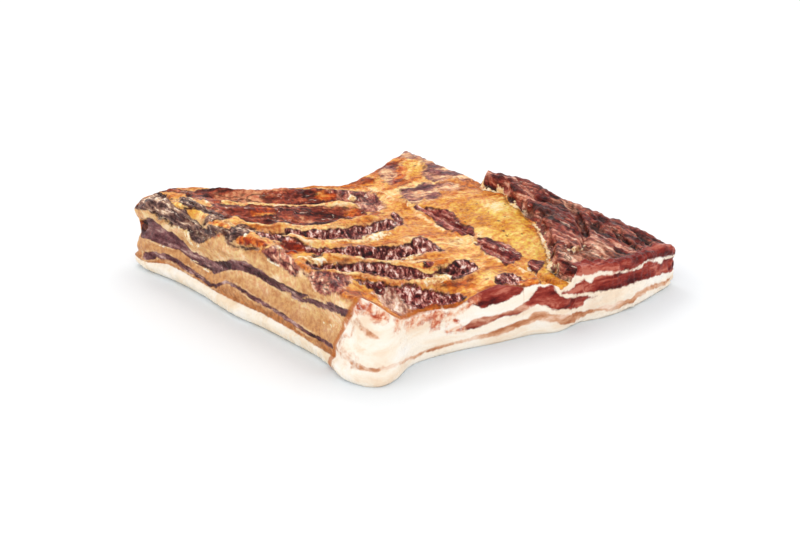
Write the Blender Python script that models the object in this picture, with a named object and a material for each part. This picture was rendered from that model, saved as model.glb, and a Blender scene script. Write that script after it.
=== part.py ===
"""A slab of cold-smoked pork belly, lying on its skin side.

The belly is one piece of meat, so it is one solid. It starts as a block of small cells whose
points are moved in four steps: the block's edges are rounded, its plan is drawn between the four
trimmed edges, its upper face is lifted to the meat's thickness and carved with the beds that the
pulled ribs left, and its sides swell and sink with the layers of fat and lean.

The slab's front face (-Y) is a fresh straight cut and its left face (-X) is a smoked one. The
origin is the middle of the outline at the level of the table. Lengths in the tables are in
millimetres and are turned into metres when the points are placed.
"""

import math

import bmesh
import bpy
import numpy as np
from mathutils import Vector, noise

METRES = 0.001

# Cells of the first block along the front face, along the left face and up the sides.
COLUMNS = 150
ROWS = 145
COURSES = 18
# The finished solid keeps this many triangles, the most where the form bends most.
TRIANGLES = 11600

# Places along each smooth curve of the outline, and along each line on the upper face.
CURVE_SAMPLES = 200
LINE_SAMPLES = 60

# Nominal width along the front face and depth along the left face, used for edge distances.
WIDTH = 272.0
DEPTH = 250.0
# Middle of the outline below, which becomes the origin.
PLAN_MIDDLE = (19.05, 19.4)

# The four corners of the outline, and the points that each trimmed edge bends through.
FRONT_LEFT = (-109.0, -98.0)
FRONT_RIGHT = (166.0, -113.0)
BACK_LEFT = (-126.0, 164.0)
BACK_RIGHT = (118.0, 143.0)
LEFT_EDGE = [
    FRONT_LEFT, (-114, -83), (-111, -66), (-109, -47), (-111, -15), (-114, 14), (-118, 36),
    (-119, 60), (-119, 85), (-121, 110), (-125, 131), (-128, 147), BACK_LEFT,
]
RIGHT_EDGE = [FRONT_RIGHT, (163, -85), (154, -47), (145, 0), (139, 45), (128, 86), (121, 125), BACK_RIGHT]
FRONT_EDGE = [
    FRONT_LEFT, (-98, -107), (-84, -105), (-68, -97), (-53, -95), (-26, -99), (4, -107),
    (29, -112), (47, -120), (68, -118), (85, -122), (103, -123), (124, -121), (140, -118), FRONT_RIGHT,
]
BACK_EDGE = [
    BACK_LEFT, (-97, 155), (-64, 136), (-37, 129), (0, 124), (30, 118), (60, 122), (97, 135), BACK_RIGHT,
]

# Thickness of the meat under the ribs, on a net of rows from front to back and columns from
# left to right.
THICKNESS = np.array([
    [62.0, 42.0, 37.0, 39.0, 31.0, 30.0, 28.5],
    [62.0, 54.0, 44.0, 39.0, 34.0, 32.0, 30.0],
    [65.0, 57.0, 47.0, 41.0, 37.0, 36.0, 34.5],
    [64.0, 57.0, 48.0, 41.0, 38.0, 38.0, 37.0],
    [48.0, 59.0, 53.0, 45.0, 39.0, 39.0, 41.0],
])

# Radii of the slab's edges: the smoked and hidden sides are soft, the fresh cut is crisp.
SIDE_RADIUS = {"left": 8.0, "right": 6.0, "front": 2.5, "back": 7.0}
TOP_RADIUS = 6.0
BASE_RADIUS = 6.0

# Beds of the pulled ribs: the line that each follows, its half width and its depth.
RIB_BEDS = [
    ([(-90, 124), (-66, 114), (-45, 108), (-20, 102), (0, 95), (17, 87), (31, 76)], 12.0, 4.0),
    ([(-99, 88), (-78, 71), (-55, 66), (-30, 65), (-5, 62), (18, 61)], 14.0, 5.0),
    ([(-96, 45), (-76, 34), (-56, 28), (-36, 26), (-14, 27), (6, 29), (26, 33)], 11.5, 5.5),
    ([(-100, 14), (-80, 2), (-62, -8), (-44, -14), (-24, -18), (-4, -19), (18, -21)], 12.5, 6.5),
    ([(-100, -22), (-84, -34), (-64, -41), (-46, -47), (-30, -56), (-11, -62), (5, -62), (20, -62)], 12.5, 6.5),
    ([(-92, -64), (-73, -70), (-54, -77), (-36, -84), (-18, -93)], 11.0, 4.5),
]
# A bed runs out over this share of its length and narrows there to this share of its width. It
# is deepest this far in front of its line, as a share of its half width, because the rib lay
# under the fat behind it.
BED_RUN_OUT = 0.13
BED_TIP = 0.55
BED_LEAN = 0.3
BED_STEEPNESS = 1.25
# The strip of fat beside a bed stands up as a crest, this high and this wide, and lies this many
# half widths from the bed's line.
CREST_HEIGHT = 1.8
CREST_WIDTH = 3.5
CREST_OUT = 1.2

# The seam where the fat over the ribs ends: its line from back to front, the height and width
# of the lip, and the pits where red meat shows behind it.
SEAM = [
    (38, 116), (43, 98), (44, 74), (46, 58), (50, 46), (49, 28), (47, 11), (46, -11),
    (45, -28), (40, -46), (36, -67), (37, -86), (35, -104), (32, -118),
]
LIP_HEIGHT = 3.2
LIP_WIDTH = 6.0
LIP_FALL = 2.5
SEAM_PITS = [
    ([(52, 50), (60, 30), (57, 8), (51, -18)], 7.0, 5.5),
    ([(47, -28), (49, -50), (50, -70)], 8.0, 5.5),
    ([(47, -80), (45, -98), (46, -118)], 7.0, 6.5),
]

# The flank muscle that lies on the fat at the right: the line of its ragged edge from back to
# front, how far it stands up, and the creases between its lobes.
FLANK_EDGE = [
    (150, 64), (126, 58), (121, 44), (124, 28), (116, 13), (115, 1), (108, -13), (105, -28),
    (99, -39), (90, -55), (81, -70), (69, -83), (62, -93), (58, -106), (54, -130),
]
FLANK_RISE = 13.0
FLANK_THIN_RISE = 1.5
FLANK_THIN_REACH = 58.0
FLANK_EDGE_WIDTH = 5.5
FLANK_CREASES = [
    ([(146, -20), (137, -34), (125, -54), (113, -72), (104, -84), (93, -91), (80, -92), (70, -86)], 4.5, 3.5),
    ([(138, 26), (128, 4), (126, -12), (134, -26)], 5.0, 2.5),
    ([(150, -50), (138, -78), (128, -112)], 4.0, 1.6),
]

# Broad swellings of the upper face: middle, radius and height.
SWELLINGS = [
    ((-100, -96), 12.0, 4.0),
    ((10, -94), 20.0, 3.5),
    ((84, -10), 28.0, 2.5),
    ((100, 118), 26.0, 2.0),
    ((118, -42), 20.0, 1.5),
    ((-96, 62), 18.0, 2.0),
    ((-104, 30), 9.0, 3.0),
    ((-98, 106), 14.0, 3.0),
    ((148, 10), 16.0, 2.5),
    ((160, -52), 16.0, 2.0),
]

# Heights of the layers on the left face, which the right and back faces repeat: the fat swells
# and the dark lean between sinks back as it dries.
BASE_FAT_TOP = 10.0
BASE_FAT_BULGE = 3.4
LEAN_MIDDLE = 32.0
LEAN_HALF_THICKNESS = 8.0
LEAN_SINK = 2.2
FAT_SWELL = 1.4
FAT_OFFSET = 15.0
FAT_HALF_THICKNESS = 6.0
LAYER_WAVE = 4.0
LAYER_WAVE_LENGTH = 95.0

# The layers fade out this far below the upper face.
EDGE_FADE = 9.0
# The faces beside a side follow its relief this far in.
RELIEF_REACH = 24.0
# The layers fade out this close to the fresh cut, and the cut itself is nearly plain.
FRESH_FADE = 16.0
CUT_WAVE, CUT_WAVE_RISE, CUT_WAVE_RUN = 0.6, 9.0, 30.0

# Unevenness of the whole surface: size of the lumps and how far they stand out.
BROAD_LUMP, BROAD_LUMP_HEIGHT = 38.0, 1.5
FINE_LUMP, FINE_LUMP_HEIGHT = 12.0, 0.6
# The outlines of beds, pits and muscle are torn: how far they stray, and over what distance.
TEAR, TEAR_LENGTH = 2.2, 11.0
TEAR_SHIFT = 77.0
NOISE_SEED = 11.0


def soft_step(value):
    """Goes from 0 to 1 as value does, with level ends."""
    t = np.clip(value, 0.0, 1.0)
    return t * t * (3.0 - 2.0 * t)


def bend_through(points, samples):
    """A smooth curve through the points, as that many places along it."""
    p = np.array(points, float)
    p = np.vstack([2 * p[0] - p[1], p, 2 * p[-1] - p[-2]])
    t = np.linspace(0.0, len(points) - 1 - 1e-9, samples)
    i = t.astype(int)
    f = (t - i)[:, None]
    a, b, c, d = p[i], p[i + 1], p[i + 2], p[i + 3]
    return 0.5 * (2 * b + (c - a) * f + (2 * a - 5 * b + 4 * c - d) * f**2 + (3 * b - a - 3 * c + d) * f**3)


def place_on(curve, share):
    """The place at a share of the way along a sampled curve."""
    t = np.clip(share, 0.0, 1.0) * (len(curve) - 1)
    i = np.minimum(t.astype(int), len(curve) - 2)
    f = (t - i)[:, None]
    return curve[i] * (1 - f) + curve[i + 1] * f


def plan_place(u, v):
    """Plan position of a point at share u of the width and share v of the depth."""
    edges = (FRONT_EDGE, BACK_EDGE, LEFT_EDGE, RIGHT_EDGE)
    front, back, left, right = (bend_through(edge, CURVE_SAMPLES) for edge in edges)
    a, b = u[:, None], v[:, None]
    corners = (
        (1 - a) * (1 - b) * np.array(FRONT_LEFT) + a * (1 - b) * np.array(FRONT_RIGHT)
        + (1 - a) * b * np.array(BACK_LEFT) + a * b * np.array(BACK_RIGHT)
    )
    between_front_and_back = (1 - b) * place_on(front, u) + b * place_on(back, u)
    between_sides = (1 - a) * place_on(left, v) + a * place_on(right, v)
    return between_front_and_back + between_sides - corners


def cubic_between(values, share):
    """Smooth value at a share of the way along the last axis of a net."""
    t = np.clip(share, 0.0, 1.0) * (values.shape[-1] - 1)
    i = np.minimum(t.astype(int), values.shape[-1] - 2)
    f = t - i
    first, last = 2 * values[..., :1] - values[..., 1:2], 2 * values[..., -1:] - values[..., -2:-1]
    p = np.concatenate([first, values, last], axis=-1)
    pick = np.arange(len(share)) if values.ndim == 2 else slice(None)
    a, b, c, d = (p[pick, i + k] if values.ndim == 2 else p[i + k] for k in range(4))
    return 0.5 * (2 * b + (c - a) * f + (2 * a - 5 * b + 4 * c - d) * f**2 + (3 * b - a - 3 * c + d) * f**3)


def meat_thickness(u, v):
    """Thickness of the meat before the beds, the seam and the flank are added."""
    along_rows = np.stack([cubic_between(row, u) for row in THICKNESS], axis=1)
    return cubic_between(along_rows, v)


def beside_line(plan, points):
    """Distance to the left of a line for each plan place, and the share of the line passed."""
    line = bend_through(points, LINE_SAMPLES)
    start, step = line[:-1], np.diff(line, axis=0)
    length = np.linalg.norm(step, axis=1)
    away = plan[:, None, :] - start[None]
    along = np.clip((away * step).sum(2) / length**2, 0.0, 1.0)
    gap = away - along[..., None] * step
    distance = np.linalg.norm(gap, axis=2)
    nearest = distance.argmin(axis=1)
    rows = np.arange(len(plan))
    cross = step[nearest, 0] * away[rows, nearest, 1] - step[nearest, 1] * away[rows, nearest, 0]
    passed = (np.concatenate([[0.0], np.cumsum(length)])[nearest] + along[rows, nearest] * length[nearest])
    return distance[rows, nearest] * np.sign(cross), passed / length.sum()


def bed_depth(plan, points, half_width, depth):
    """Depth of a rounded bed along a line, running out at both ends."""
    offset, share = beside_line(plan, points)
    ends = soft_step(share / BED_RUN_OUT) * soft_step((1.0 - share) / BED_RUN_OUT)
    width_here = half_width * (BED_TIP + (1.0 - BED_TIP) * ends)
    across = np.clip(offset / width_here, -1.0, 1.0)
    across = across + BED_LEAN * (1.0 - across**2)
    return depth * ends * soft_step((1.0 - across**2) * BED_STEEPNESS)


def rib_beds(plan):
    """Height that the beds of the ribs take away and their crests add."""
    height = np.zeros(len(plan))
    for points, half_width, depth in RIB_BEDS:
        offset, share = beside_line(plan, points)
        ends = soft_step(share / BED_RUN_OUT) * soft_step((1.0 - share) / BED_RUN_OUT)
        crest = np.exp(-(((np.abs(offset) - half_width * CREST_OUT) / CREST_WIDTH) ** 2))
        height += CREST_HEIGHT * crest * ends
        height -= bed_depth(plan, points, half_width, depth)
    return height


def seam(plan):
    """Height of the lip along the seam, and of the pits behind it."""
    offset, share = beside_line(plan, SEAM)
    behind = soft_step(offset / LIP_FALL)
    lip = LIP_HEIGHT * np.exp(-((offset / LIP_WIDTH) ** 2)) * (1.0 - behind)
    height = lip * soft_step(share / BED_RUN_OUT)
    for points, half_width, depth in SEAM_PITS:
        height -= bed_depth(plan, points, half_width, depth) * behind
    return height


def flank(plan):
    """Height that the flank muscle adds on top of the fat."""
    offset, _ = beside_line(plan, FLANK_EDGE)
    to_corner = np.linalg.norm(plan - np.array(FRONT_RIGHT), axis=1)
    full = FLANK_THIN_RISE + (FLANK_RISE - FLANK_THIN_RISE) * (1.0 - np.exp(-to_corner / FLANK_THIN_REACH))
    on_muscle = soft_step(offset / FLANK_EDGE_WIDTH)
    height = full * on_muscle
    for points, half_width, depth in FLANK_CREASES:
        height -= bed_depth(plan, points, half_width, depth) * on_muscle
    return height


def lumps(places, size, height):
    """Smooth unevenness at each place, the same at every run."""
    seed = Vector((NOISE_SEED, 2.0 * NOISE_SEED, 3.0 * NOISE_SEED))
    return height * np.array([noise.noise(Vector(place) / size + seed) for place in places])


def torn(plan):
    """The plan places, each strayed a little to make outlines ragged."""
    here = np.column_stack([plan, np.zeros(len(plan))])
    there = here[:, [1, 0, 2]] + TEAR_SHIFT
    return plan + np.column_stack([lumps(here, TEAR_LENGTH, TEAR), lumps(there, TEAR_LENGTH, TEAR)])


def upper_face(u, v, plan):
    """Height of the slab's upper face above the table."""
    ragged = torn(plan)
    height = meat_thickness(u, v) + rib_beds(ragged) + seam(ragged) + flank(ragged)
    for middle, radius, rise in SWELLINGS:
        height += rise * np.exp(-(np.linalg.norm(plan - np.array(middle), axis=1) / radius) ** 2)
    flat = np.column_stack([plan, np.zeros(len(plan))])
    return height + lumps(flat, BROAD_LUMP, BROAD_LUMP_HEIGHT) + lumps(flat, FINE_LUMP, FINE_LUMP_HEIGHT)


def side_relief(run, z, fresh, fade):
    """How far the side stands out at height z, a distance run along the outline."""
    wave = LAYER_WAVE * np.sin(2 * math.pi * run / LAYER_WAVE_LENGTH)
    base_fat = BASE_FAT_BULGE * soft_step((BASE_FAT_TOP + 1.2 - z) / 2.4)
    lean = -LEAN_SINK * np.exp(-(((z - LEAN_MIDDLE - wave) / LEAN_HALF_THICKNESS) ** 2))
    fat = 0.0
    for middle in (LEAN_MIDDLE - FAT_OFFSET, LEAN_MIDDLE + FAT_OFFSET):
        fat = fat + FAT_SWELL * np.exp(-(((z - middle - wave) / FAT_HALF_THICKNESS) ** 2))
    smoked = (lean + fat) * fade + base_fat - BASE_FAT_BULGE
    cut = CUT_WAVE * np.sin(z / CUT_WAVE_RISE + run / CUT_WAVE_RUN) * fade
    return smoked * (1.0 - fresh) + cut * fresh


def shape_slab(cell):
    """Places, in metres, of the block's points, whose shares of its width, depth and height
    are the columns of cell."""
    u, v, w = cell.T
    along, back = u * WIDTH, v * DEPTH
    height = upper_face(u, v, plan_place(u, v))

    # Nearness to each face, from 0 away from it to 1 on it, rounds the block's edges.
    gap = {"left": along, "right": WIDTH - along, "front": back, "back": DEPTH - back}
    near = {side: np.clip(1.0 - gap[side] / SIDE_RADIUS[side], 0.0, 1.0) for side in gap}
    near_top = np.clip(1.0 - height * (1.0 - w) / TOP_RADIUS, 0.0, 1.0)
    near_base = np.clip(1.0 - height * w / BASE_RADIUS, 0.0, 1.0)
    reach = np.sqrt(sum(n**2 for n in near.values()) + near_top**2 + near_base**2)
    moved = 1.0 - 1.0 / np.maximum(reach, 1.0)
    inward = {side: near[side] * moved * SIDE_RADIUS[side] for side in near}
    u_round = u + (inward["left"] - inward["right"]) / WIDTH
    v_round = v + (inward["front"] - inward["back"]) / DEPTH
    plan = plan_place(u_round, v_round)
    z = height * w - near_top * moved * TOP_RADIUS + near_base * moved * BASE_RADIUS

    # The sides stand out and sink with their layers, and the faces beside them follow.
    close = {side: soft_step(1.0 - gap[side] / RELIEF_REACH) for side in gap}
    outward = np.column_stack([close["right"] - close["left"], close["back"] - close["front"]])
    outward /= np.maximum(np.linalg.norm(outward, axis=1), 1.0)[:, None]
    run = np.where(np.abs(outward[:, 0]) > np.abs(outward[:, 1]), back, along)
    fresh = 1.0 - soft_step(back / FRESH_FADE)
    relief = side_relief(run, z, fresh, soft_step((height - z) / EDGE_FADE))
    plan = plan + outward * relief[:, None]

    places = np.column_stack([plan - np.array(PLAN_MIDDLE), np.maximum(z, 0.0)])
    return places * METRES


def cut_into_cells(mesh, axis, cells):
    """Cuts the block's edges that lie along an axis into that many parts."""
    along = []
    for edge in mesh.edges:
        step = edge.verts[1].co - edge.verts[0].co
        if abs(step[axis]) > 0.5 * step.length:
            along.append(edge)
    bmesh.ops.subdivide_edges(mesh, edges=along, cuts=cells - 1)


def meat_material():
    """Smoked meat and fat as one middle colour."""
    material = bpy.data.materials.new("smoked_meat")
    material.use_nodes = True
    shader = material.node_tree.nodes["Principled BSDF"]
    shader.inputs["Base Color"].default_value = (0.50, 0.22, 0.09, 1.0)
    shader.inputs["Roughness"].default_value = 0.45
    shader.inputs["Metallic"].default_value = 0.0
    return material


def build_belly(collection):
    """The whole slab as one closed solid."""
    mesh = bmesh.new()
    bmesh.ops.create_cube(mesh, size=1.0)
    for axis, cells in enumerate((COLUMNS, ROWS, COURSES)):
        cut_into_cells(mesh, axis, cells)
    cell = np.array([vertex.co for vertex in mesh.verts]) + 0.5
    for vertex, place in zip(mesh.verts, shape_slab(cell)):
        vertex.co = place
    data = bpy.data.meshes.new("pork_belly")
    mesh.to_mesh(data)
    mesh.free()
    data.shade_smooth()
    data.materials.append(meat_material())
    belly = bpy.data.objects.new("pork_belly", data)
    collection.objects.link(belly)
    faces = 4 * (COLUMNS * ROWS + COLUMNS * COURSES + ROWS * COURSES)
    thin = belly.modifiers.new("fewer_faces", "DECIMATE")
    thin.ratio = TRIANGLES / faces
    return belly


def main():
    for item in list(bpy.data.objects):
        bpy.data.objects.remove(item)
    collection = bpy.data.collections.new("smoked_pork_belly")
    bpy.context.scene.collection.children.link(collection)
    build_belly(collection)


main()
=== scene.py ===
"""The look of a slab of cold-smoked pork belly that lies on its fat side."""

import math

import bmesh
import bpy
import numpy as np
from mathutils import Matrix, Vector, noise


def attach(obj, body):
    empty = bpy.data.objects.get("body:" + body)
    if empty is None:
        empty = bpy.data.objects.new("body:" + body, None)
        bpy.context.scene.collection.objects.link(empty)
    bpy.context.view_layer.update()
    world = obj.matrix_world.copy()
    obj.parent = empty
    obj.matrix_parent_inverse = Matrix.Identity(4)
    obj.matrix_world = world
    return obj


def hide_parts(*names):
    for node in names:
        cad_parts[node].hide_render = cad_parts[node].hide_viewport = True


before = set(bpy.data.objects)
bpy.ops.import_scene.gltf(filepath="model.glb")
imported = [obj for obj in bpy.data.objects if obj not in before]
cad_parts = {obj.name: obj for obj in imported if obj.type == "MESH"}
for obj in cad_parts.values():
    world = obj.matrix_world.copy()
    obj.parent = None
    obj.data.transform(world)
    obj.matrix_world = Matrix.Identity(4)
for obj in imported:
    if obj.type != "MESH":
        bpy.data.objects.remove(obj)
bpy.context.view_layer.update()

# The slab's outline. A belly is trimmed with four long cuts of a knife: the front one is fresh and
# crisp, the others were made before smoking and have drawn in. Each is a smooth curve through the
# places where it bends, in millimetres, and a plan place is blended between all four.
METRES = 0.001
WIDTH, DEPTH = 272.0, 250.0
PLAN_MIDDLE = (19.05, 19.4)
FRONT_LEFT, FRONT_RIGHT = (-109.0, -98.0), (166.0, -113.0)
BACK_LEFT, BACK_RIGHT = (-126.0, 164.0), (118.0, 143.0)
LEFT_EDGE = [
    FRONT_LEFT, (-114, -83), (-111, -66), (-109, -47), (-111, -15), (-114, 14), (-118, 36),
    (-119, 60), (-119, 85), (-121, 110), (-125, 131), (-128, 147), BACK_LEFT,
]
RIGHT_EDGE = [FRONT_RIGHT, (163, -85), (154, -47), (145, 0), (139, 45), (128, 86), (121, 125), BACK_RIGHT]
FRONT_EDGE = [
    FRONT_LEFT, (-98, -107), (-84, -105), (-68, -97), (-53, -95), (-26, -99), (4, -107),
    (29, -112), (47, -120), (68, -118), (85, -122), (103, -123), (124, -121), (140, -118), FRONT_RIGHT,
]
BACK_EDGE = [
    BACK_LEFT, (-97, 155), (-64, 136), (-37, 129), (0, 124), (30, 118), (60, 122), (97, 135), BACK_RIGHT,
]


def soft_step(value):
    t = np.clip(value, 0.0, 1.0)
    return t * t * (3.0 - 2.0 * t)


def bend_through(points, samples):
    p = np.array(points, float)
    p = np.vstack([2 * p[0] - p[1], p, 2 * p[-1] - p[-2]])
    t = np.linspace(0.0, len(points) - 1 - 1e-9, samples)
    i = t.astype(int)
    f = (t - i)[:, None]
    a, b, c, d = p[i], p[i + 1], p[i + 2], p[i + 3]
    return 0.5 * (2 * b + (c - a) * f + (2 * a - 5 * b + 4 * c - d) * f**2 + (3 * b - a - 3 * c + d) * f**3)


def place_on(curve, share):
    t = np.clip(share, 0.0, 1.0) * (len(curve) - 1)
    i = np.minimum(t.astype(int), len(curve) - 2)
    f = (t - i)[:, None]
    return curve[i] * (1 - f) + curve[i + 1] * f


EDGE_STEPS = 200


def plan_place(u, v):
    edges = (FRONT_EDGE, BACK_EDGE, LEFT_EDGE, RIGHT_EDGE)
    front, back, left, right = (bend_through(edge, EDGE_STEPS) for edge in edges)
    a, b = u[:, None], v[:, None]
    corners = (
        (1 - a) * (1 - b) * np.array(FRONT_LEFT) + a * (1 - b) * np.array(FRONT_RIGHT)
        + (1 - a) * b * np.array(BACK_LEFT) + a * b * np.array(BACK_RIGHT)
    )
    between_front_and_back = (1 - b) * place_on(front, u) + b * place_on(back, u)
    between_sides = (1 - a) * place_on(left, v) + a * place_on(right, v)
    return between_front_and_back + between_sides - corners


# The meat's thickness under the ribs. The left end keeps its full thickness, and the meat thins
# towards the flank. Rows run from front to back and columns from left to right.
THICKNESS = np.array([
    [62.0, 42.0, 37.0, 39.0, 31.0, 30.0, 28.5],
    [62.0, 54.0, 44.0, 39.0, 34.0, 32.0, 30.0],
    [65.0, 57.0, 47.0, 41.0, 37.0, 36.0, 34.5],
    [64.0, 57.0, 48.0, 41.0, 38.0, 38.0, 37.0],
    [48.0, 59.0, 53.0, 45.0, 39.0, 39.0, 41.0],
])
SWELLINGS = [
    ((-100, -96), 12.0, 4.0), ((10, -94), 20.0, 3.5), ((84, -10), 28.0, 2.5), ((100, 118), 26.0, 2.0),
    ((118, -42), 20.0, 1.5), ((-96, 62), 18.0, 2.0), ((-104, 30), 9.0, 3.0), ((-98, 106), 14.0, 3.0),
    ((148, 10), 16.0, 2.5), ((160, -52), 16.0, 2.0),
]


def cubic_between(values, share):
    t = np.clip(share, 0.0, 1.0) * (values.shape[-1] - 1)
    i = np.minimum(t.astype(int), values.shape[-1] - 2)
    f = t - i
    first, last = 2 * values[..., :1] - values[..., 1:2], 2 * values[..., -1:] - values[..., -2:-1]
    p = np.concatenate([first, values, last], axis=-1)
    pick = np.arange(len(share))
    a, b, c, d = (p[pick, i + k] if values.ndim == 2 else p[i + k] for k in range(4))
    return 0.5 * (2 * b + (c - a) * f + (2 * a - 5 * b + 4 * c - d) * f**2 + (3 * b - a - 3 * c + d) * f**3)


def meat_thickness(u, v, plan):
    along_rows = np.stack([cubic_between(row, u) for row in THICKNESS], axis=1)
    height = cubic_between(along_rows, v)
    for middle, radius, rise in SWELLINGS:
        height += rise * np.exp(-(np.linalg.norm(plan - np.array(middle), axis=1) / radius) ** 2)
    return height


# The lines on the upper face. Torn outlines stray from them a little, and a streak is the meat or
# fat that lies within some width of a line, which may change along it.
NOISE_SEED = Vector((11.0, 22.0, 33.0))
TEAR, TEAR_LENGTH, TEAR_SHIFT = 2.2, 11.0, 77.0
LINE_STEPS = 60


def lumps(places, size, height):
    return height * np.array([noise.noise(Vector(place) / size + NOISE_SEED) for place in places])


def torn(plan, stray, length):
    here = np.column_stack([plan, np.zeros(len(plan))])
    there = here[:, [1, 0, 2]] + TEAR_SHIFT
    return plan + np.column_stack([lumps(here, length, stray), lumps(there, length, stray)])


def beside_line(plan, points):
    line = bend_through(points, LINE_STEPS)
    start, step = line[:-1], np.diff(line, axis=0)
    length = np.linalg.norm(step, axis=1)
    away = plan[:, None, :] - start[None]
    along = np.clip((away * step).sum(2) / length**2, 0.0, 1.0)
    gap = away - along[..., None] * step
    distance = np.linalg.norm(gap, axis=2)
    nearest = distance.argmin(axis=1)
    rows = np.arange(len(plan))
    cross = step[nearest, 0] * away[rows, nearest, 1] - step[nearest, 1] * away[rows, nearest, 0]
    passed = np.concatenate([[0.0], np.cumsum(length)])[nearest] + along[rows, nearest] * length[nearest]
    return distance[rows, nearest] * np.sign(cross), passed / length.sum()


# The beds of the ribs. The ribs were pulled after curing, so each left a shallow bed of dark
# grainy meat with a crest of smoked fat on both sides; the two at the back are smooth and brown.
RIB_BEDS = [
    ([(-90, 124), (-66, 114), (-45, 108), (-20, 102), (0, 95), (17, 87), (31, 76)], 12.0, 4.0),
    ([(-99, 88), (-78, 71), (-55, 66), (-30, 65), (-5, 62), (18, 61)], 14.0, 5.0),
    ([(-96, 45), (-76, 34), (-56, 28), (-36, 26), (-14, 27), (6, 29), (26, 33)], 11.5, 5.5),
    ([(-100, 14), (-80, 2), (-62, -8), (-44, -14), (-24, -18), (-4, -19), (18, -21)], 12.5, 6.5),
    ([(-100, -22), (-84, -34), (-64, -41), (-46, -47), (-30, -56), (-11, -62), (5, -62), (20, -62)],
     12.5, 6.5),
    ([(-92, -64), (-73, -70), (-54, -77), (-36, -84), (-18, -93)], 11.0, 4.5),
]
CREST_HEIGHT, CREST_WIDTH, CREST_OUT = 1.8, 3.5, 1.2
BED_RUN_OUT, BED_TIP, BED_LEAN, BED_STEEPNESS = 0.13, 0.55, 0.3, 1.25


def faded_ends(share, run_out):
    """0 at both ends of a line and 1 along its middle."""
    return soft_step(share / run_out) * soft_step((1.0 - share) / run_out)


def bed_depth(plan, points, half_width, depth):
    offset, share = beside_line(plan, points)
    ends = faded_ends(share, BED_RUN_OUT)
    width_here = half_width * (BED_TIP + (1.0 - BED_TIP) * ends)
    across = np.clip(offset / width_here, -1.0, 1.0)
    across = across + BED_LEAN * (1.0 - across**2)
    return depth * ends * soft_step((1.0 - across**2) * BED_STEEPNESS)


def rib_beds(plan):
    height = np.zeros(len(plan))
    for points, half_width, depth in RIB_BEDS:
        offset, share = beside_line(plan, points)
        ends = faded_ends(share, BED_RUN_OUT)
        crest = np.exp(-(((np.abs(offset) - half_width * CREST_OUT) / CREST_WIDTH) ** 2))
        height += CREST_HEIGHT * crest * ends
        height -= bed_depth(plan, points, half_width, depth)
    return height


# The seam. Where the fat over the ribs ends it stands up as a lip, and red meat shows in the pits
# behind it.
SEAM = [
    (38, 116), (43, 98), (44, 74), (46, 58), (50, 46), (49, 28), (47, 11), (46, -11),
    (45, -28), (40, -46), (36, -67), (37, -86), (35, -104), (32, -118),
]
LIP_HEIGHT, LIP_WIDTH, LIP_FALL = 3.2, 6.0, 2.5
SEAM_PITS = [
    ([(52, 50), (60, 30), (57, 8), (51, -18)], 7.0, 5.5),
    ([(47, -28), (49, -50), (50, -70)], 8.0, 5.5),
    ([(47, -80), (45, -98), (46, -118)], 7.0, 6.5),
]


def seam(plan):
    offset, share = beside_line(plan, SEAM)
    behind = soft_step(offset / LIP_FALL)
    lip = LIP_HEIGHT * np.exp(-((offset / LIP_WIDTH) ** 2)) * (1.0 - behind)
    height = lip * soft_step(share / BED_RUN_OUT)
    for points, half_width, depth in SEAM_PITS:
        height -= bed_depth(plan, points, half_width, depth) * behind
    return height


# The flank muscle. It lies on the fat at the right with a ragged torn edge, is creased between its
# lobes, and thins towards the right corner.
FLANK_EDGE = [
    (150, 64), (126, 58), (121, 44), (124, 28), (116, 13), (115, 1), (108, -13), (105, -28),
    (99, -39), (90, -55), (81, -70), (69, -83), (62, -93), (58, -106), (54, -130),
]
FLANK_RISE, FLANK_THIN_RISE, FLANK_THIN_REACH, FLANK_EDGE_WIDTH = 13.0, 1.5, 58.0, 5.5
FLANK_CREASES = [
    ([(146, -20), (137, -34), (125, -54), (113, -72), (104, -84), (93, -91), (80, -92), (70, -86)],
     4.5, 3.5),
    ([(138, 26), (128, 4), (126, -12), (134, -26)], 5.0, 2.5),
    ([(150, -50), (138, -78), (128, -112)], 4.0, 1.6),
]


def flank(plan):
    offset, _ = beside_line(plan, FLANK_EDGE)
    to_corner = np.linalg.norm(plan - np.array(FRONT_RIGHT), axis=1)
    full = FLANK_THIN_RISE + (FLANK_RISE - FLANK_THIN_RISE) * (1.0 - np.exp(-to_corner / FLANK_THIN_REACH))
    on_muscle = soft_step(offset / FLANK_EDGE_WIDTH)
    height = full * on_muscle
    for points, half_width, depth in FLANK_CREASES:
        height -= bed_depth(plan, points, half_width, depth) * on_muscle
    return height


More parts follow.
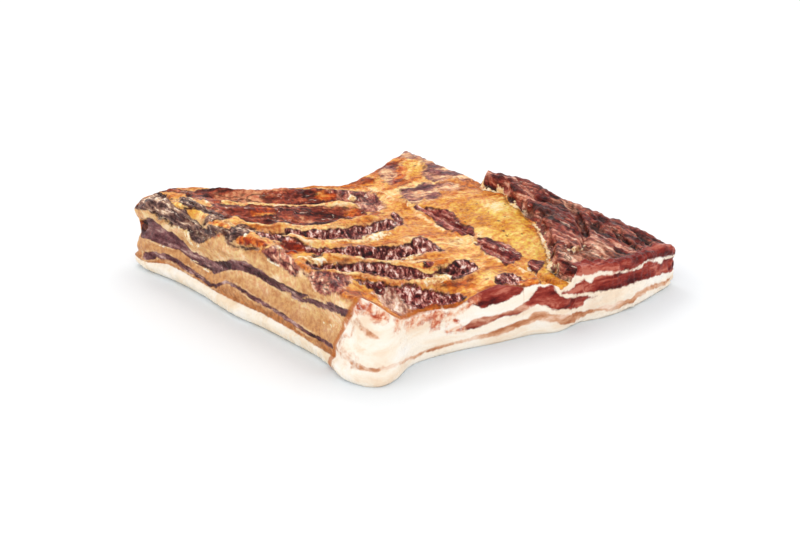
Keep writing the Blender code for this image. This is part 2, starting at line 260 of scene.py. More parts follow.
# What the surface is made of, as patches: closed outlines in millimetres. The dark patches are
# painted shade in clefts and cracks. On the upper face they are in plan. At the smoked left end
# they are unrolled: distance back, and height plus the way in from the edge. At the fresh cut
# likewise: distance right, and height plus the way in.
TOP_PATCHES = {
    "brown": [
        [(-87, 134), (-77, 133), (-68, 130), (-57, 126), (-44, 124), (-33, 122), (-20, 120), (-8, 117),
         (0, 113), (9, 106), (17, 101), (19, 96), (13, 92), (0, 88), (-12, 88), (-25, 91), (-40, 94),
         (-54, 97), (-67, 100), (-78, 103), (-85, 107), (-86, 120)],
        [(-92, 110), (-88, 101), (-81, 97), (-66, 94), (-51, 90), (-35, 87), (-22, 82), (-11, 78),
         (4, 73), (13, 66), (12, 57), (2, 49), (-10, 45), (-24, 46), (-38, 47), (-52, 47), (-64, 47),
         (-78, 48), (-86, 52), (-95, 60), (-96, 78), (-96, 93)],
        [(-106, 152), (-98, 148), (-93, 137), (-89, 124), (-92, 121), (-96, 132), (-100, 142)],
        [(-94, 138), (-88, 134), (-84, 126), (-84, 104), (-92, 101), (-98, 107), (-98, 124)],
        [(-103, 95), (-97, 92), (-92, 88), (-94, 72), (-101, 64), (-105, 70), (-107, 80)],
        [(-83, 43), (-78, 41), (-71, 38), (-66, 36), (-68, 34), (-75, 37), (-81, 40)],
    ],
    "grain": [
        [(-72, 40), (-59, 39), (-49, 39), (-39, 37), (-27, 35), (-13, 36), (-2, 36), (6, 38), (13, 40),
         (20, 39), (21, 32), (13, 19), (1, 14), (-9, 14), (-18, 13), (-26, 10), (-33, 10), (-40, 12),
         (-52, 13), (-64, 16), (-70, 26)],
        [(29, 47), (31, 42), (27, 31), (18, 20), (18, 27), (22, 34), (23, 41)],
        [(-76, 6), (-68, 5), (-59, 2), (-48, 0), (-37, -2), (-26, -5), (-15, -7), (-6, -8), (2, -10),
         (9, -6), (15, -7), (17, -15), (15, -25), (13, -34), (5, -34), (-5, -33), (-14, -34),
         (-24, -34), (-35, -34), (-43, -31), (-54, -29), (-62, -26), (-70, -20), (-74, -8)],
        [(-87, -24), (-78, -26), (-70, -28), (-64, -31), (-53, -32), (-40, -35), (-33, -40), (-26, -45),
         (-22, -48), (-19, -51), (-14, -54), (-9, -54), (-2, -53), (3, -52), (10, -51), (15, -52),
         (18, -58), (16, -68), (8, -75), (2, -78), (-8, -79), (-16, -78), (-20, -72), (-26, -70),
         (-32, -70), (-43, -68), (-50, -64), (-60, -60), (-70, -57), (-80, -52), (-89, -46), (-93, -36)],
        [(7, -95), (16, -90), (23, -90), (27, -94), (26, -103), (22, -109), (19, -110), (14, -108),
         (9, -106), (5, -103), (4, -98)],
        [(-96, 41), (-84, 42), (-86, 26), (-77, 13), (-68, 5), (-72, 2), (-80, 8), (-89, 14), (-98, 22),
         (-103, 28)],
        [(-97, -22), (-91, -23), (-87, -26), (-83, -30), (-92, -37), (-101, -43), (-103, -37)],
    ],
    "ruby": [
        [(-84, -57), (-78, -59), (-72, -62), (-64, -62), (-58, -65), (-52, -67), (-47, -68), (-41, -72),
         (-36, -75), (-33, -77), (-28, -81), (-22, -85), (-20, -91), (-20, -98), (-26, -98), (-29, -92),
         (-36, -90), (-48, -92), (-55, -92), (-61, -91), (-64, -87), (-58, -77), (-61, -71), (-68, -68),
         (-73, -66), (-79, -62)],
    ],
    "rosy": [
        [(10, 104), (20, 104), (33, 98), (39, 87), (37, 72), (30, 58), (18, 55), (13, 61), (15, 70),
         (11, 80), (15, 91)],
    ],
    "marbled": [
        [(-78, -69), (-66, -66), (-57, -68), (-57, -77), (-62, -90), (-72, -96), (-79, -94), (-82, -84),
         (-81, -75)],
    ],
    "pale": [
        [(117, 120), (119, 99), (124, 84), (128, 71), (118, 70), (110, 77), (100, 75), (94, 82), (95, 92),
         (104, 101), (110, 112)],
        [(92, 74), (101, 71), (106, 62), (98, 57), (89, 62)],
        [(104, 134), (112, 134), (116, 122), (108, 118), (102, 126)],
        [(27, 95), (36, 96), (38, 88), (37, 76), (34, 64), (28, 57), (19, 58), (16, 66), (20, 78),
         (20, 90)],
        [(82, 79), (88, 78), (88, 70), (83, 59), (79, 53), (71, 52), (68, 56), (75, 67)],
        [(61, 76), (67, 73), (70, 66), (65, 57), (59, 53), (53, 57), (56, 66)],
        [(64, 82), (72, 79), (80, 78), (92, 75), (87, 63), (72, 58), (64, 62), (59, 70)],
        [(74, 119), (82, 120), (84, 113), (79, 104), (71, 95), (65, 95), (65, 103), (67, 111)],
    ],
    "red": [
        [(47, 43), (59, 45), (63, 40), (66, 36), (69, 29), (69, 23), (65, 14), (62, 7), (62, -1),
         (62, -8), (60, -12), (51, -20), (46, -21), (43, -16), (42, -7), (41, 1), (42, 10), (45, 22),
         (46, 33)],
        [(42, -31), (54, -23), (60, -27), (61, -33), (66, -39), (64, -49), (63, -58), (58, -66),
         (50, -68), (40, -77), (34, -82), (31, -78), (33, -69), (33, -60), (34, -51), (38, -43)],
        [(56, -74), (62, -72), (66, -76), (68, -80), (59, -86), (51, -91), (51, -85), (50, -81)],
        [(-72, -64), (-64, -65), (-67, -68), (-72, -68)],
        [(-14, -43), (-8, -45), (-9, -50), (-16, -49)],
        [(28, -105), (32, -109), (33, -113), (36, -115), (31, -113)],
    ],
    "rust": [
        [(3, 106), (9, 104), (16, 101), (14, 96), (5, 98), (0, 103)],
        [(-90, 15), (-84, 16), (-80, 13), (-78, 8), (-88, -3), (-94, -9), (-96, -4), (-91, 8)],
        [(5, 71), (13, 65), (11, 59), (0, 54), (0, 64)],
        [(-65, 92), (-54, 88), (-55, 77), (-66, 78), (-74, 81)],
        [(19, -106), (28, -106), (32, -110), (30, -114), (22, -112)],
        [(88, 115), (93, 113), (89, 105), (78, 95), (71, 92), (66, 95), (77, 103)],
    ],
    "amber": [
        [(-25, 4), (-16, 4), (-7, 3), (2, -5), (-10, -7), (-20, -5), (-29, -3)],
        [(-18, -36), (-7, -38), (0, -45), (5, -51), (-8, -52), (-15, -50), (-19, -45)],
        [(-27, -74), (-16, -79), (-10, -90), (-18, -88), (-24, -82), (-31, -76)],
        [(106, -26), (100, -40), (93, -54), (91, -50), (94, -39), (96, -29)],
        [(126, 32), (124, 22), (119, 20), (120, 32)],
        [(109, -16), (111, -26), (108, -32), (103, -34), (103, -22)],
        [(-13, -80), (-8, -86), (-2, -95), (-11, -94), (-17, -87)],
        [(6, -2), (14, 1), (24, 0), (25, -16), (28, -25), (18, -14)],
        [(84, 54), (98, 55), (113, 51), (122, 36), (110, 43), (96, 47)],
        [(16, -56), (22, -64), (20, -71), (8, -79), (12, -68)],
        [(-6, 42), (8, 44), (24, 50), (20, 55), (6, 50), (-6, 46)],
        [(60, 116), (84, 130), (112, 141), (114, 128), (92, 118), (72, 106)],
        [(28, 112), (48, 118), (58, 106), (40, 98)],
        [(50, 90), (66, 96), (86, 94), (100, 96), (88, 88), (66, 86)],
        [(-82, -22), (-72, -20), (-62, -24), (-74, -25)],
    ],
    "ivory": [
        [(-24, 13), (-14, 14), (-4, 12), (3, 9), (-6, 7), (-17, 6), (-25, 8)],
        [(-53, 12), (-41, 10), (-35, 10), (-37, 7), (-49, 8), (-56, 10)],
        [(-15, -18), (-8, -16), (1, -19), (-4, -31), (-13, -34), (-23, -35)],
        [(-35, -72), (-16, -57), (-9, -56), (-2, -57), (-12, -74), (-17, -77), (-24, -77), (-32, -74)],
        [(-97, -12), (-96, -22), (-88, -24), (-80, -24), (-84, -18), (-90, -14)],
        [(-80, -25), (-75, -26), (-73, -28), (-79, -28)],
        [(48, -82), (51, -84), (50, -91), (42, -96)],
        [(44, -22), (48, -28), (44, -34), (40, -37), (42, -28)],
        [(58, 67), (53, 57), (46, 48), (44, 51)],
        [(25, 94), (28, 89), (24, 87), (21, 92)],
        [(79, -86), (86, -87), (96, -85), (108, -79), (94, -88), (83, -89)],
    ],
    # Painted shade: dark patches in the clefts and cracks, and along the flank's torn edge.
    "dark": [
        [(-84, -12), (-78, -9), (-80, -18), (-85, -19), (-90, -17)],
        [(-101, 50), (-94, 50), (-92, 45), (-98, 42), (-104, 43)],
        [(-7, -52), (-1, -53), (3, -55), (-4, -58), (-9, -57)],
        [(64, -91), (60, -103), (59, -115), (56, -118), (56, -108), (58, -96)],
        [(82, -82), (89, -81), (91, -86), (83, -86)],
        [(97, -84), (110, -74), (113, -75), (104, -80)],
        [(117, 3), (112, -11), (110, -22), (107, -18), (108, -10)],
        [(109, -28), (116, -34), (110, -45), (102, -47), (105, -36)],
        [(139, -35), (136, -43), (124, -63), (116, -73), (115, -68), (126, -51)],
        [(130, -59), (134, -66), (131, -76), (124, -76), (123, -69)],
        [(139, -73), (138, -85), (135, -103), (132, -112), (129, -108), (132, -95), (132, -84)],
        [(151, -84), (151, -94), (149, -105), (142, -107), (145, -95)],
    ],
    "yellow": [
        [(76, 36), (94, 34), (102, 26), (114, 22), (117, 12), (117, 3), (109, -12), (104, -23),
         (101, -35), (93, -50), (86, -62), (76, -75), (68, -79), (67, -75), (62, -70), (63, -58),
         (66, -44), (65, -34), (60, -29), (55, -24), (53, -19), (62, -10), (62, 0), (64, 13), (69, 25)],
        [(65, -79), (69, -79), (65, -89), (60, -100), (58, -109), (58, -117), (55, -121), (46, -119),
         (48, -110), (49, -105), (51, -98), (53, -92)],
        [(95, 116), (111, 116), (114, 111), (102, 100), (87, 92), (80, 92), (88, 105)],
        [(3, -80), (17, -79), (18, -86), (7, -95), (0, -90)],
    ],
    "dry": [
        [(75, -86), (84, -88), (95, -86), (106, -85), (112, -89), (115, -98), (113, -108), (111, -118),
         (104, -119), (93, -114), (82, -110), (68, -112), (65, -108), (69, -96)],
        [(130, -17), (138, -19), (141, -27), (136, -43), (134, -38), (134, -25), (123, -26)],
    ],
}
END_PATCHES = {
    "lean": [
        [(151, 41), (143, 46), (134, 45), (127, 43), (119, 43), (111, 40), (104, 38), (100, 35),
         (93, 35), (84, 35), (77, 36), (70, 36), (61, 39), (52, 42), (43, 46), (33, 48), (27, 48),
         (13, 46), (4, 45), (-7, 44), (-19, 44), (-29, 44), (-39, 45), (-28, 42), (-18, 41), (-10, 40),
         (1, 40), (12, 41), (20, 42), (34, 42), (42, 40), (53, 36), (61, 31), (68, 27), (76, 28),
         (87, 27), (95, 28), (104, 30), (113, 31), (120, 30), (127, 29), (135, 29), (143, 30),
         (154, 28), (156, 33)],
        [(-59, 49), (-69, 51), (-80, 53), (-87, 54), (-92, 52), (-91, 49), (-84, 49), (-73, 47),
         (-63, 45), (-49, 42), (-38, 41), (-26, 39), (-17, 38), (-18, 40), (-27, 41), (-39, 43),
         (-50, 45), (-61, 47)],
        [(150, 15), (141, 18), (133, 20), (124, 22), (117, 22), (107, 21), (97, 20), (88, 19), (80, 18),
         (64, 18), (52, 26), (42, 27), (32, 27), (19, 24), (3, 23), (-13, 21), (-27, 19), (-42, 18),
         (-65, 20), (-64, 18), (-42, 16), (-26, 17), (-12, 18), (3, 21), (20, 21), (32, 25), (42, 25),
         (51, 24), (64, 16), (80, 15), (88, 16), (96, 16), (105, 17), (118, 19), (125, 18), (134, 17),
         (140, 13), (147, 11)],
    ],
    "cap": [
        [(157, 49), (155, 53), (154, 60), (151, 67), (151, 75), (135, 74), (118, 67), (109, 64),
         (99, 66), (94, 62), (84, 61), (82, 57), (74, 59), (66, 60), (57, 61), (63, 57), (71, 51),
         (79, 45), (90, 43), (94, 48), (101, 49), (108, 49), (115, 48), (121, 49), (128, 49), (137, 52),
         (143, 52)],
        [(50, 64), (47, 70), (53, 77), (53, 82), (49, 84), (45, 85), (30, 75), (29, 70), (34, 67),
         (37, 63), (43, 58), (49, 58), (52, 61)],
        [(52, 57), (45, 56), (37, 58), (27, 60), (18, 63), (11, 64), (17, 61), (26, 58), (36, 56),
         (45, 55)],
        [(131, 81), (118, 82), (102, 80), (90, 79), (80, 79), (76, 73), (82, 71), (93, 71), (102, 69),
         (113, 71)],
        [(78, 64), (75, 71), (76, 76), (68, 77), (63, 77), (66, 69), (72, 65), (75, 61)],
        [(71, 63), (57, 67), (46, 68), (51, 63), (63, 61), (71, 60)],
    ],
    "rust": [
        [(72, 66), (63, 71), (53, 72), (47, 70), (59, 66), (71, 64)],
        [(37, 64), (29, 70), (21, 72), (17, 74), (12, 74), (8, 67), (19, 64), (30, 61), (36, 60)],
        [(14, 78), (15, 84), (15, 88), (11, 87), (-8, 78), (-8, 72), (0, 74)],
        [(71, 56), (61, 59), (53, 63), (56, 59), (66, 54)],
        [(157, 41), (153, 42), (152, 38), (156, 33)],
    ],
    "amber": [
        [(30, 60), (14, 66), (6, 66), (-2, 78), (-10, 70), (4, 64), (20, 60)],
        [(-22, 74), (-10, 80), (-14, 88), (-26, 84), (-30, 78)],
    ],
    "rosy": [
        [(11, 63), (6, 69), (17, 79), (15, 80), (-8, 72), (-22, 66), (-27, 63), (-25, 56), (-20, 54),
         (-13, 56), (-3, 57), (5, 58), (9, 61)],
        [(-31, 61), (-35, 59), (-39, 56), (-42, 53), (-48, 51), (-59, 54), (-68, 59), (-75, 65),
         (-70, 71), (-62, 78), (-57, 82), (-52, 80), (-48, 76), (-44, 73), (-41, 67), (-37, 62)],
    ],
    "yellow": [
        [(118, 67), (110, 66), (100, 67), (95, 70), (89, 73), (76, 72), (77, 66), (84, 62), (92, 60),
         (97, 62), (98, 65), (107, 64), (114, 65)],
        [(110, 55), (103, 56), (95, 58), (83, 59), (87, 55), (95, 54), (101, 54), (108, 53)],
        [(90, 49), (83, 50), (75, 51), (77, 48), (86, 46)],
        [(-3, 73), (-7, 74), (-13, 73), (-19, 67), (-12, 68)],
    ],
    "ivory": [
        [(110, 48), (102, 50), (95, 49), (92, 44), (87, 41), (73, 47), (84, 40), (96, 39), (98, 42),
         (101, 46)],
        [(106, 30), (97, 29), (83, 28), (71, 27), (80, 25), (93, 27), (103, 28)],
        [(147, 29), (137, 29), (127, 29), (120, 29), (128, 27), (138, 27), (146, 27)],
        [(63, 74), (59, 77), (53, 77), (50, 72), (58, 72)],
        [(10, 62), (5, 60), (-3, 58), (-11, 58), (-4, 56), (5, 57)],
        [(11, 75), (10, 76), (-6, 70), (-5, 68), (2, 70)],
        [(32, 72), (30, 74), (27, 69), (30, 68)],
        [(-47, 32), (-56, 34), (-67, 38), (-70, 35), (-62, 33), (-54, 32)],
    ],
    # Painted shade: dark patches in the clefts between the flaps.
    "dark": [
        [(153, 42), (146, 45), (145, 42), (146, 38), (152, 34), (155, 37)],
        [(155, 52), (154, 56), (153, 53), (157, 49)],
        [(128, 32), (123, 32), (123, 30), (128, 30)],
    ],
    "red": [
        [(-86, 51), (-92, 52), (-92, 48), (-88, 47), (-85, 49)],
    ],
}
FRONT_PATCHES = {
    "fresh_tan": [
        [(-110, 48), (-112, 39), (-111, 28), (-110, 19), (-107, 15), (-102, 15), (-96, 15), (-87, 14),
         (-74, 10), (-62, 8), (-53, 8), (-37, 9), (-26, 9), (-11, 10), (3, 12), (11, 13), (17, 15),
         (24, 15), (29, 18), (36, 18), (40, 16), (50, 13), (61, 11), (71, 9), (82, 10), (95, 10),
         (110, 9), (122, 11), (137, 10), (154, 7), (163, 7), (158, 3), (141, 6), (132, 7), (117, 6),
         (105, 5), (93, 4), (82, 7), (75, 6), (65, 4), (56, 4), (48, 6), (43, 9), (39, 9), (33, 12),
         (26, 10), (19, 10), (11, 8), (3, 7), (-11, 7), (-26, 7), (-37, 7), (-53, 6), (-62, 6),
         (-74, 8), (-87, 12), (-97, 13), (-103, 12), (-107, 13), (-110, 17), (-111, 25), (-112, 36),
         (-110, 46)],
        [(-110, 53), (-109, 49), (-106, 43), (-104, 40), (-100, 38), (-100, 35), (-104, 36), (-107, 40),
         (-109, 46)],
    ],
    "fresh_brown": [
        [(-24, 17), (-20, 21), (-15, 23), (-8, 23), (-3, 22), (2, 23), (8, 24), (12, 24), (18, 26),
         (24, 27), (25, 22), (21, 21), (16, 19), (10, 20), (3, 20), (-4, 18), (-11, 16), (-18, 16)],
    ],
    "fresh_red": [
        [(21, 26), (25, 29), (29, 35), (32, 38), (35, 36), (40, 38), (42, 34), (45, 29), (49, 26),
         (60, 23), (68, 21), (79, 19), (74, 18), (70, 17), (69, 14), (63, 13), (50, 17), (41, 19),
         (36, 22), (31, 24), (25, 23)],
        [(46, 31), (54, 31), (62, 32), (67, 34), (71, 33), (75, 30), (76, 33), (81, 34), (90, 33),
         (99, 32), (110, 30), (121, 29), (130, 31), (139, 28), (146, 24), (152, 25), (160, 24),
         (167, 24), (167, 16), (160, 12), (147, 15), (134, 17), (121, 19), (110, 20), (100, 20),
         (88, 22), (82, 22), (74, 23), (65, 24), (54, 28), (47, 29)],
        [(58, 42), (60, 48), (63, 58), (77, 62), (88, 59), (99, 55), (109, 51), (122, 51), (141, 52),
         (151, 48), (161, 42), (170, 40), (170, 26), (156, 27), (145, 29), (132, 32), (124, 32),
         (117, 31), (106, 32), (94, 34), (84, 37), (78, 37), (72, 37), (63, 38)],
        [(-19, 43), (-13, 47), (-8, 50), (-4, 52), (1, 53), (5, 54), (9, 51), (14, 46), (20, 44),
         (21, 38), (19, 35), (14, 34), (10, 33), (6, 32), (2, 31), (-3, 31), (-6, 30), (-11, 30),
         (-14, 32), (-18, 34), (-22, 36), (-28, 38)],
    ],
    "fresh_pink": [
        [(-110, 63), (-106, 63), (-105, 56), (-110, 56)],
        [(-105, 63), (-101, 62), (-101, 54), (-106, 54)],
        [(-103, 57), (-97, 56), (-97, 48), (-104, 49)],
        [(-98, 55), (-92, 53), (-94, 47), (-99, 48)],
        [(-46, 35), (-40, 35), (-41, 28), (-43, 23), (-48, 22), (-49, 27)],
        [(-37, 28), (-30, 27), (-28, 24), (-34, 24)],
        [(-36, 19), (-32, 20), (-24, 18), (-24, 16), (-32, 16)],
        [(-85, 46), (-72, 41), (-79, 37), (-86, 38)],
        [(-73, 35), (-65, 35), (-57, 34), (-52, 30), (-59, 29), (-68, 29)],
    ],
    "amber": [
        [(-92, 84), (-85, 72), (-80, 60), (-76, 48), (-68, 40), (-60, 40), (-50, 39), (-41, 39),
         (-30, 36), (-19, 35), (-16, 33), (-30, 32), (-40, 34), (-49, 35), (-61, 37), (-69, 37),
         (-80, 43), (-88, 54), (-93, 68), (-99, 76)],
    ],
}

# Thin crests of pale fat stand between the beds, where the fat was torn up with the ribs. Each has
# its half width.
CREST_LINES = [
    ([(-108, 150), (-101, 147), (-97, 139), (-95, 129), (-96, 113), (-98, 98), (-97, 82), (-102, 61)], 1.2),
    ([(-99, 102), (-88, 104), (-71, 97), (-50, 92), (-21, 84), (5, 75), (24, 76)], 1.2),
    ([(-103, 59), (-93, 53), (-80, 47), (-61, 44), (-46, 45), (-32, 43), (-12, 46), (13, 54)], 1.2),
    ([(-94, 44), (-83, 42), (-78, 18), (-66, 9), (-44, 8), (-27, 8), (-11, 10)], 1.2),
    ([(-91, 13), (-79, -14), (-68, -24), (-50, -31), (-33, -36), (-18, -38), (5, -44)], 1.2),
    ([(-101, -30), (-90, -48), (-78, -56), (-64, -61), (-50, -66), (-36, -72), (-22, -80)], 1.2),
    ([(26, 51), (35, 44), (40, 33), (41, 17), (39, 3)], 1.2),
    ([(38, 112), (42, 96), (42, 74), (44, 58), (47, 47), (43, 34), (40, 11), (39, -11), (38, -30)], 1.4),
    ([(38, -42), (34, -54), (32, -67), (33, -79), (34, -92), (32, -106)], 1.2),
]
# Painted shade in the crevices between the flaps at the left end, in its unrolled outline.
CREVICES = [
    [(150, 73), (146, 74), (130, 73), (122, 74)], [(109, 65), (96, 69), (90, 72)],
    [(110, 77), (94, 75), (81, 74), (76, 77), (65, 78)], [(93, 54), (89, 53), (82, 51), (69, 54)],
    [(102, 58), (90, 57)], [(137, 53), (129, 51), (121, 49), (110, 47)],
    [(55, 68), (50, 61), (41, 56), (27, 59), (15, 63)], [(52, 79), (46, 83), (44, 85)],
    [(77, 69), (78, 61), (85, 54)],
]
CREVICE_HALF_WIDTH = 1.0
# How high the pale fat stands at the smoked left end, by distance back. The upper edge of the fresh
# cut follows, by distance right, and then how far back the cut reaches round the corner, by height.
PALE_BASE = [
    (-98, 14), (-65, 12), (-45, 10.5), (-28, 12), (-7, 13), (14, 14), (34, 14.5), (64, 13), (84, 13),
    (108, 14), (125, 15), (140, 9), (160, 8),
]
FRESH_TOP = [
    (-112, 58), (-108, 65), (-104, 71), (-99, 70), (-92, 59), (-88, 51), (-80, 43), (-69, 38.5),
    (-60, 38.5), (-50, 36.5), (-40, 36), (-30, 33.5), (-24, 36), (-16, 41), (-5, 45), (5, 48), (14, 41),
    (22, 39), (28, 39), (40, 39), (46, 33), (52, 34), (58, 37), (62, 42), (65, 52), (77, 56), (88, 53),
    (99, 48), (109, 44), (122, 44), (141, 45), (151, 41), (161, 35), (168, 32),
]
FRESH_SIDE = [(0, -66), (21, -73), (30, -77), (40, -83), (50, -91), (62, -93), (80, -92)]


def bend_round(points, steps=3):
    """A closed curve that bends through all the points of an outline."""
    around = list(points[-2:]) + list(points) + list(points[:2])
    curve = bend_through(around, steps * (len(around) - 1) + 1)
    return curve[2 * steps:-(steps + 1)]


# A place further than this from an outline, in millimetres, counts as just that far.
FAR = 14.0


def patch_depth(places, outlines):
    """Distance in from the nearest outline, negative outside, in millimetres."""
    depth = np.full(len(places), -FAR)
    for outline in outlines:
        corner = bend_round(outline)
        close_by = np.all((places > corner.min(0) - FAR) & (places < corner.max(0) + FAR), axis=1)
        if not close_by.any():
            continue
        here = places[close_by][:, None, :]
        step = np.roll(corner, -1, axis=0) - corner
        away = here - corner
        share = np.clip((away * step).sum(2) / (step**2).sum(1), 0.0, 1.0)
        distance = np.linalg.norm(away - share[..., None] * step, axis=2).min(axis=1)
        low, high = corner[:, 1], np.roll(corner[:, 1], -1)
        crossed = (low > here[..., 1]) != (high > here[..., 1])
        crossing = corner[:, 0] + (here[..., 1] - low) / np.where(high == low, 1.0, high - low) * step[:, 0]
        inside = (crossed & (here[..., 0] < crossing)).sum(axis=1) % 2 == 1
        depth[close_by] = np.maximum(depth[close_by], np.where(inside, distance, -distance))
    return depth


# The slab as one closed mesh. Its upper face is a grid, its sides are drawn down from the grid's
# border in courses and its base is drawn in and closed. The points are then moved from the block
# to the meat: edges rounded, plan drawn, upper face lifted and carved, sides layered.
COLUMNS, ROWS, COURSES = 244, 232, 34
BASE_RINGS, BASE_RING_STEP = 4, 2.4
SIDE_RADIUS = {"left": 8.0, "right": 6.0, "front": 2.5, "back": 7.0}
TOP_RADIUS = BASE_RADIUS = 6.0
BASE_FAT_TOP, BASE_FAT_BULGE, BASE_FAT_EDGE = 10.0, 3.4, 1.2
LEAN_MIDDLE, LEAN_HALF_THICKNESS, LEAN_SINK = 32.0, 8.0, 2.2
FAT_SWELL, FAT_OFFSET, FAT_HALF_THICKNESS = 1.4, 15.0, 6.0
LAYER_WAVE, LAYER_WAVE_LENGTH = 4.0, 95.0
RELIEF_REACH, EDGE_FADE, FRESH_FADE = 24.0, 9.0, 16.0
CUT_WAVE, CUT_WAVE_RISE, CUT_WAVE_RUN = 0.6, 9.0, 30.0
BROAD_LUMPS, SMALL_LUMPS = (38.0, 1.5), (12.0, 0.6)

mesh = bmesh.new()
bmesh.ops.create_grid(mesh, x_segments=COLUMNS, y_segments=ROWS, size=0.5)
bmesh.ops.translate(mesh, vec=(0.5, 0.5, 1.0), verts=mesh.verts)
rim = [edge for edge in mesh.edges if edge.is_boundary]
for course in range(COURSES):
    drawn = bmesh.ops.extrude_edge_only(mesh, edges=rim)["geom"]
    rim = [item for item in drawn if isinstance(item, bmesh.types.BMEdge) and item.is_boundary]
    lowered = [item for item in drawn if isinstance(item, bmesh.types.BMVert)]
    bmesh.ops.translate(mesh, vec=(0.0, 0.0, -1.0 / COURSES), verts=lowered)
for ring in range(BASE_RINGS):
    drawn = bmesh.ops.extrude_edge_only(mesh, edges=rim)["geom"]
    rim = [item for item in drawn if isinstance(item, bmesh.types.BMEdge) and item.is_boundary]
    for item in drawn:
        if isinstance(item, bmesh.types.BMVert):
            item.co.x = 0.5 + (item.co.x - 0.5) * (1.0 - 2.0 * BASE_RING_STEP / WIDTH)
            item.co.y = 0.5 + (item.co.y - 0.5) * (1.0 - 2.0 * BASE_RING_STEP / DEPTH)
bmesh.ops.contextual_create(mesh, geom=rim)
bmesh.ops.recalc_face_normals(mesh, faces=mesh.faces)

cell = np.array([vertex.co for vertex in mesh.verts])
u, v, w = cell.T
along, back = u * WIDTH, v * DEPTH
flat_plan = plan_place(u, v)
ragged = torn(flat_plan, TEAR, TEAR_LENGTH)
flat_places = np.column_stack([flat_plan, np.zeros(len(flat_plan))])
height = meat_thickness(u, v, flat_plan) + rib_beds(ragged) + seam(ragged) + flank(ragged)
height += lumps(flat_places, *BROAD_LUMPS) + lumps(flat_places, *SMALL_LUMPS)

gap = {"left": along, "right": WIDTH - along, "front": back, "back": DEPTH - back}
near = {side: np.clip(1.0 - gap[side] / SIDE_RADIUS[side], 0.0, 1.0) for side in gap}
near_top = np.clip(1.0 - height * (1.0 - w) / TOP_RADIUS, 0.0, 1.0)
near_base = np.clip(1.0 - height * w / BASE_RADIUS, 0.0, 1.0)
reach = np.sqrt(sum(n**2 for n in near.values()) + near_top**2 + near_base**2)
moved = 1.0 - 1.0 / np.maximum(reach, 1.0)
inward = {side: near[side] * moved * SIDE_RADIUS[side] for side in near}
u_round = u + (inward["left"] - inward["right"]) / WIDTH
v_round = v + (inward["front"] - inward["back"]) / DEPTH
plan = plan_place(u_round, v_round)
z = np.maximum(height * w - near_top * moved * TOP_RADIUS + near_base * moved * BASE_RADIUS, 0.0)

# Relief of the sides: fat stands out and lean sinks as it dries, and the fresh cut only ripples.
close = {side: soft_step(1.0 - gap[side] / RELIEF_REACH) for side in gap}
outward = np.column_stack([close["right"] - close["left"], close["back"] - close["front"]])
outward /= np.maximum(np.linalg.norm(outward, axis=1), 1.0)[:, None]
run = np.where(np.abs(outward[:, 0]) > np.abs(outward[:, 1]), back, along)
wave = LAYER_WAVE * np.sin(2 * math.pi * run / LAYER_WAVE_LENGTH)
side_fade = soft_step((height - z) / EDGE_FADE)
smoked = -LEAN_SINK * np.exp(-(((z - LEAN_MIDDLE - wave) / LEAN_HALF_THICKNESS) ** 2))
for offset in (-FAT_OFFSET, FAT_OFFSET):
    smoked += FAT_SWELL * np.exp(-(((z - LEAN_MIDDLE - offset - wave) / FAT_HALF_THICKNESS) ** 2))
base_fat = soft_step((BASE_FAT_TOP + BASE_FAT_EDGE - z) / (2 * BASE_FAT_EDGE))
smoked = smoked * side_fade + BASE_FAT_BULGE * (base_fat - 1.0)
cut = CUT_WAVE * np.sin(z / CUT_WAVE_RISE + run / CUT_WAVE_RUN) * side_fade
fresh = 1.0 - soft_step(back / FRESH_FADE)
plan = plan + outward * (smoked * (1.0 - fresh) + cut * fresh)[:, None]
places = np.column_stack([plan, z])
for vertex, place in zip(mesh.verts, places):
    vertex.co = place
mesh.normal_update()
normals = np.array([vertex.normal for vertex in mesh.verts])

# How deep each point lies in each patch, by the unrolled outlines. Their borders are torn finely, and
# the marks of the upper face fade where they run down over a side.
BORDER_STRAYS = ((3.2, 0.9), (9.0, 1.2))
SIDE_STRAY, CREST_STRAY = 0.6, 0.5
TOP_FADE_START, TOP_FADE = 3.5, 0.8
LINE_RUN_OUT = 0.15
SPREAD = {"lean": 0.5, "brown": 0.8, "pale": 0.8, "dark": -0.7, "ivory": -0.5}
stray = sum(
    np.column_stack([lumps(places, size, reach), lumps(places + TEAR_SHIFT, size, reach)])
    for size, reach in BORDER_STRAYS
)
left_edge, front_edge = np.array(LEFT_EDGE), np.array(FRONT_EDGE)
in_from_left = np.maximum(plan[:, 0] - np.interp(plan[:, 1], left_edge[:, 1], left_edge[:, 0]), 0.0)
in_from_front = np.maximum(plan[:, 1] - np.interp(plan[:, 0], front_edge[:, 0], front_edge[:, 1]), 0.0)
end_chart = np.column_stack([plan[:, 1], z + in_from_left]) + SIDE_STRAY * stray
front_chart = np.column_stack([plan[:, 0], z + in_from_front]) + SIDE_STRAY * stray
below = np.maximum(height - z, 0.0)
down_a_side = TOP_FADE * np.maximum(below - TOP_FADE_START, 0.0)
fields = {}
for patches, chart in (
    (TOP_PATCHES, plan + stray), (END_PATCHES, end_chart), (FRONT_PATCHES, front_chart),
):
    for kind, outlines in patches.items():
        depth = patch_depth(chart, outlines)
        if patches is TOP_PATCHES:
            depth = depth - down_a_side
        fields[kind] = np.maximum(fields.get(kind, depth), depth)
# Painted shade along each crevice line.
for points in CREVICES:
    offset, share = beside_line(end_chart, points)
    crevice = CREVICE_HALF_WIDTH * faded_ends(share, LINE_RUN_OUT) - np.abs(offset) - SPREAD["dark"]
    fields["dark"] = np.maximum(fields["dark"], crevice)
for kind, spread in SPREAD.items():
    fields[kind] += spread
fields["flank"] = np.clip(beside_line(plan + stray, FLANK_EDGE)[0], -FAR, FAR)
fields["crest"] = np.full(len(plan), -FAR)
for points, half_width in CREST_LINES:
    offset, share = beside_line(plan + CREST_STRAY * stray, points)
    crest = half_width * faded_ends(share, LINE_RUN_OUT) - np.abs(offset)
    fields["crest"] = np.maximum(fields["crest"], crest)
fields["crest"] -= down_a_side
fields["below"] = below

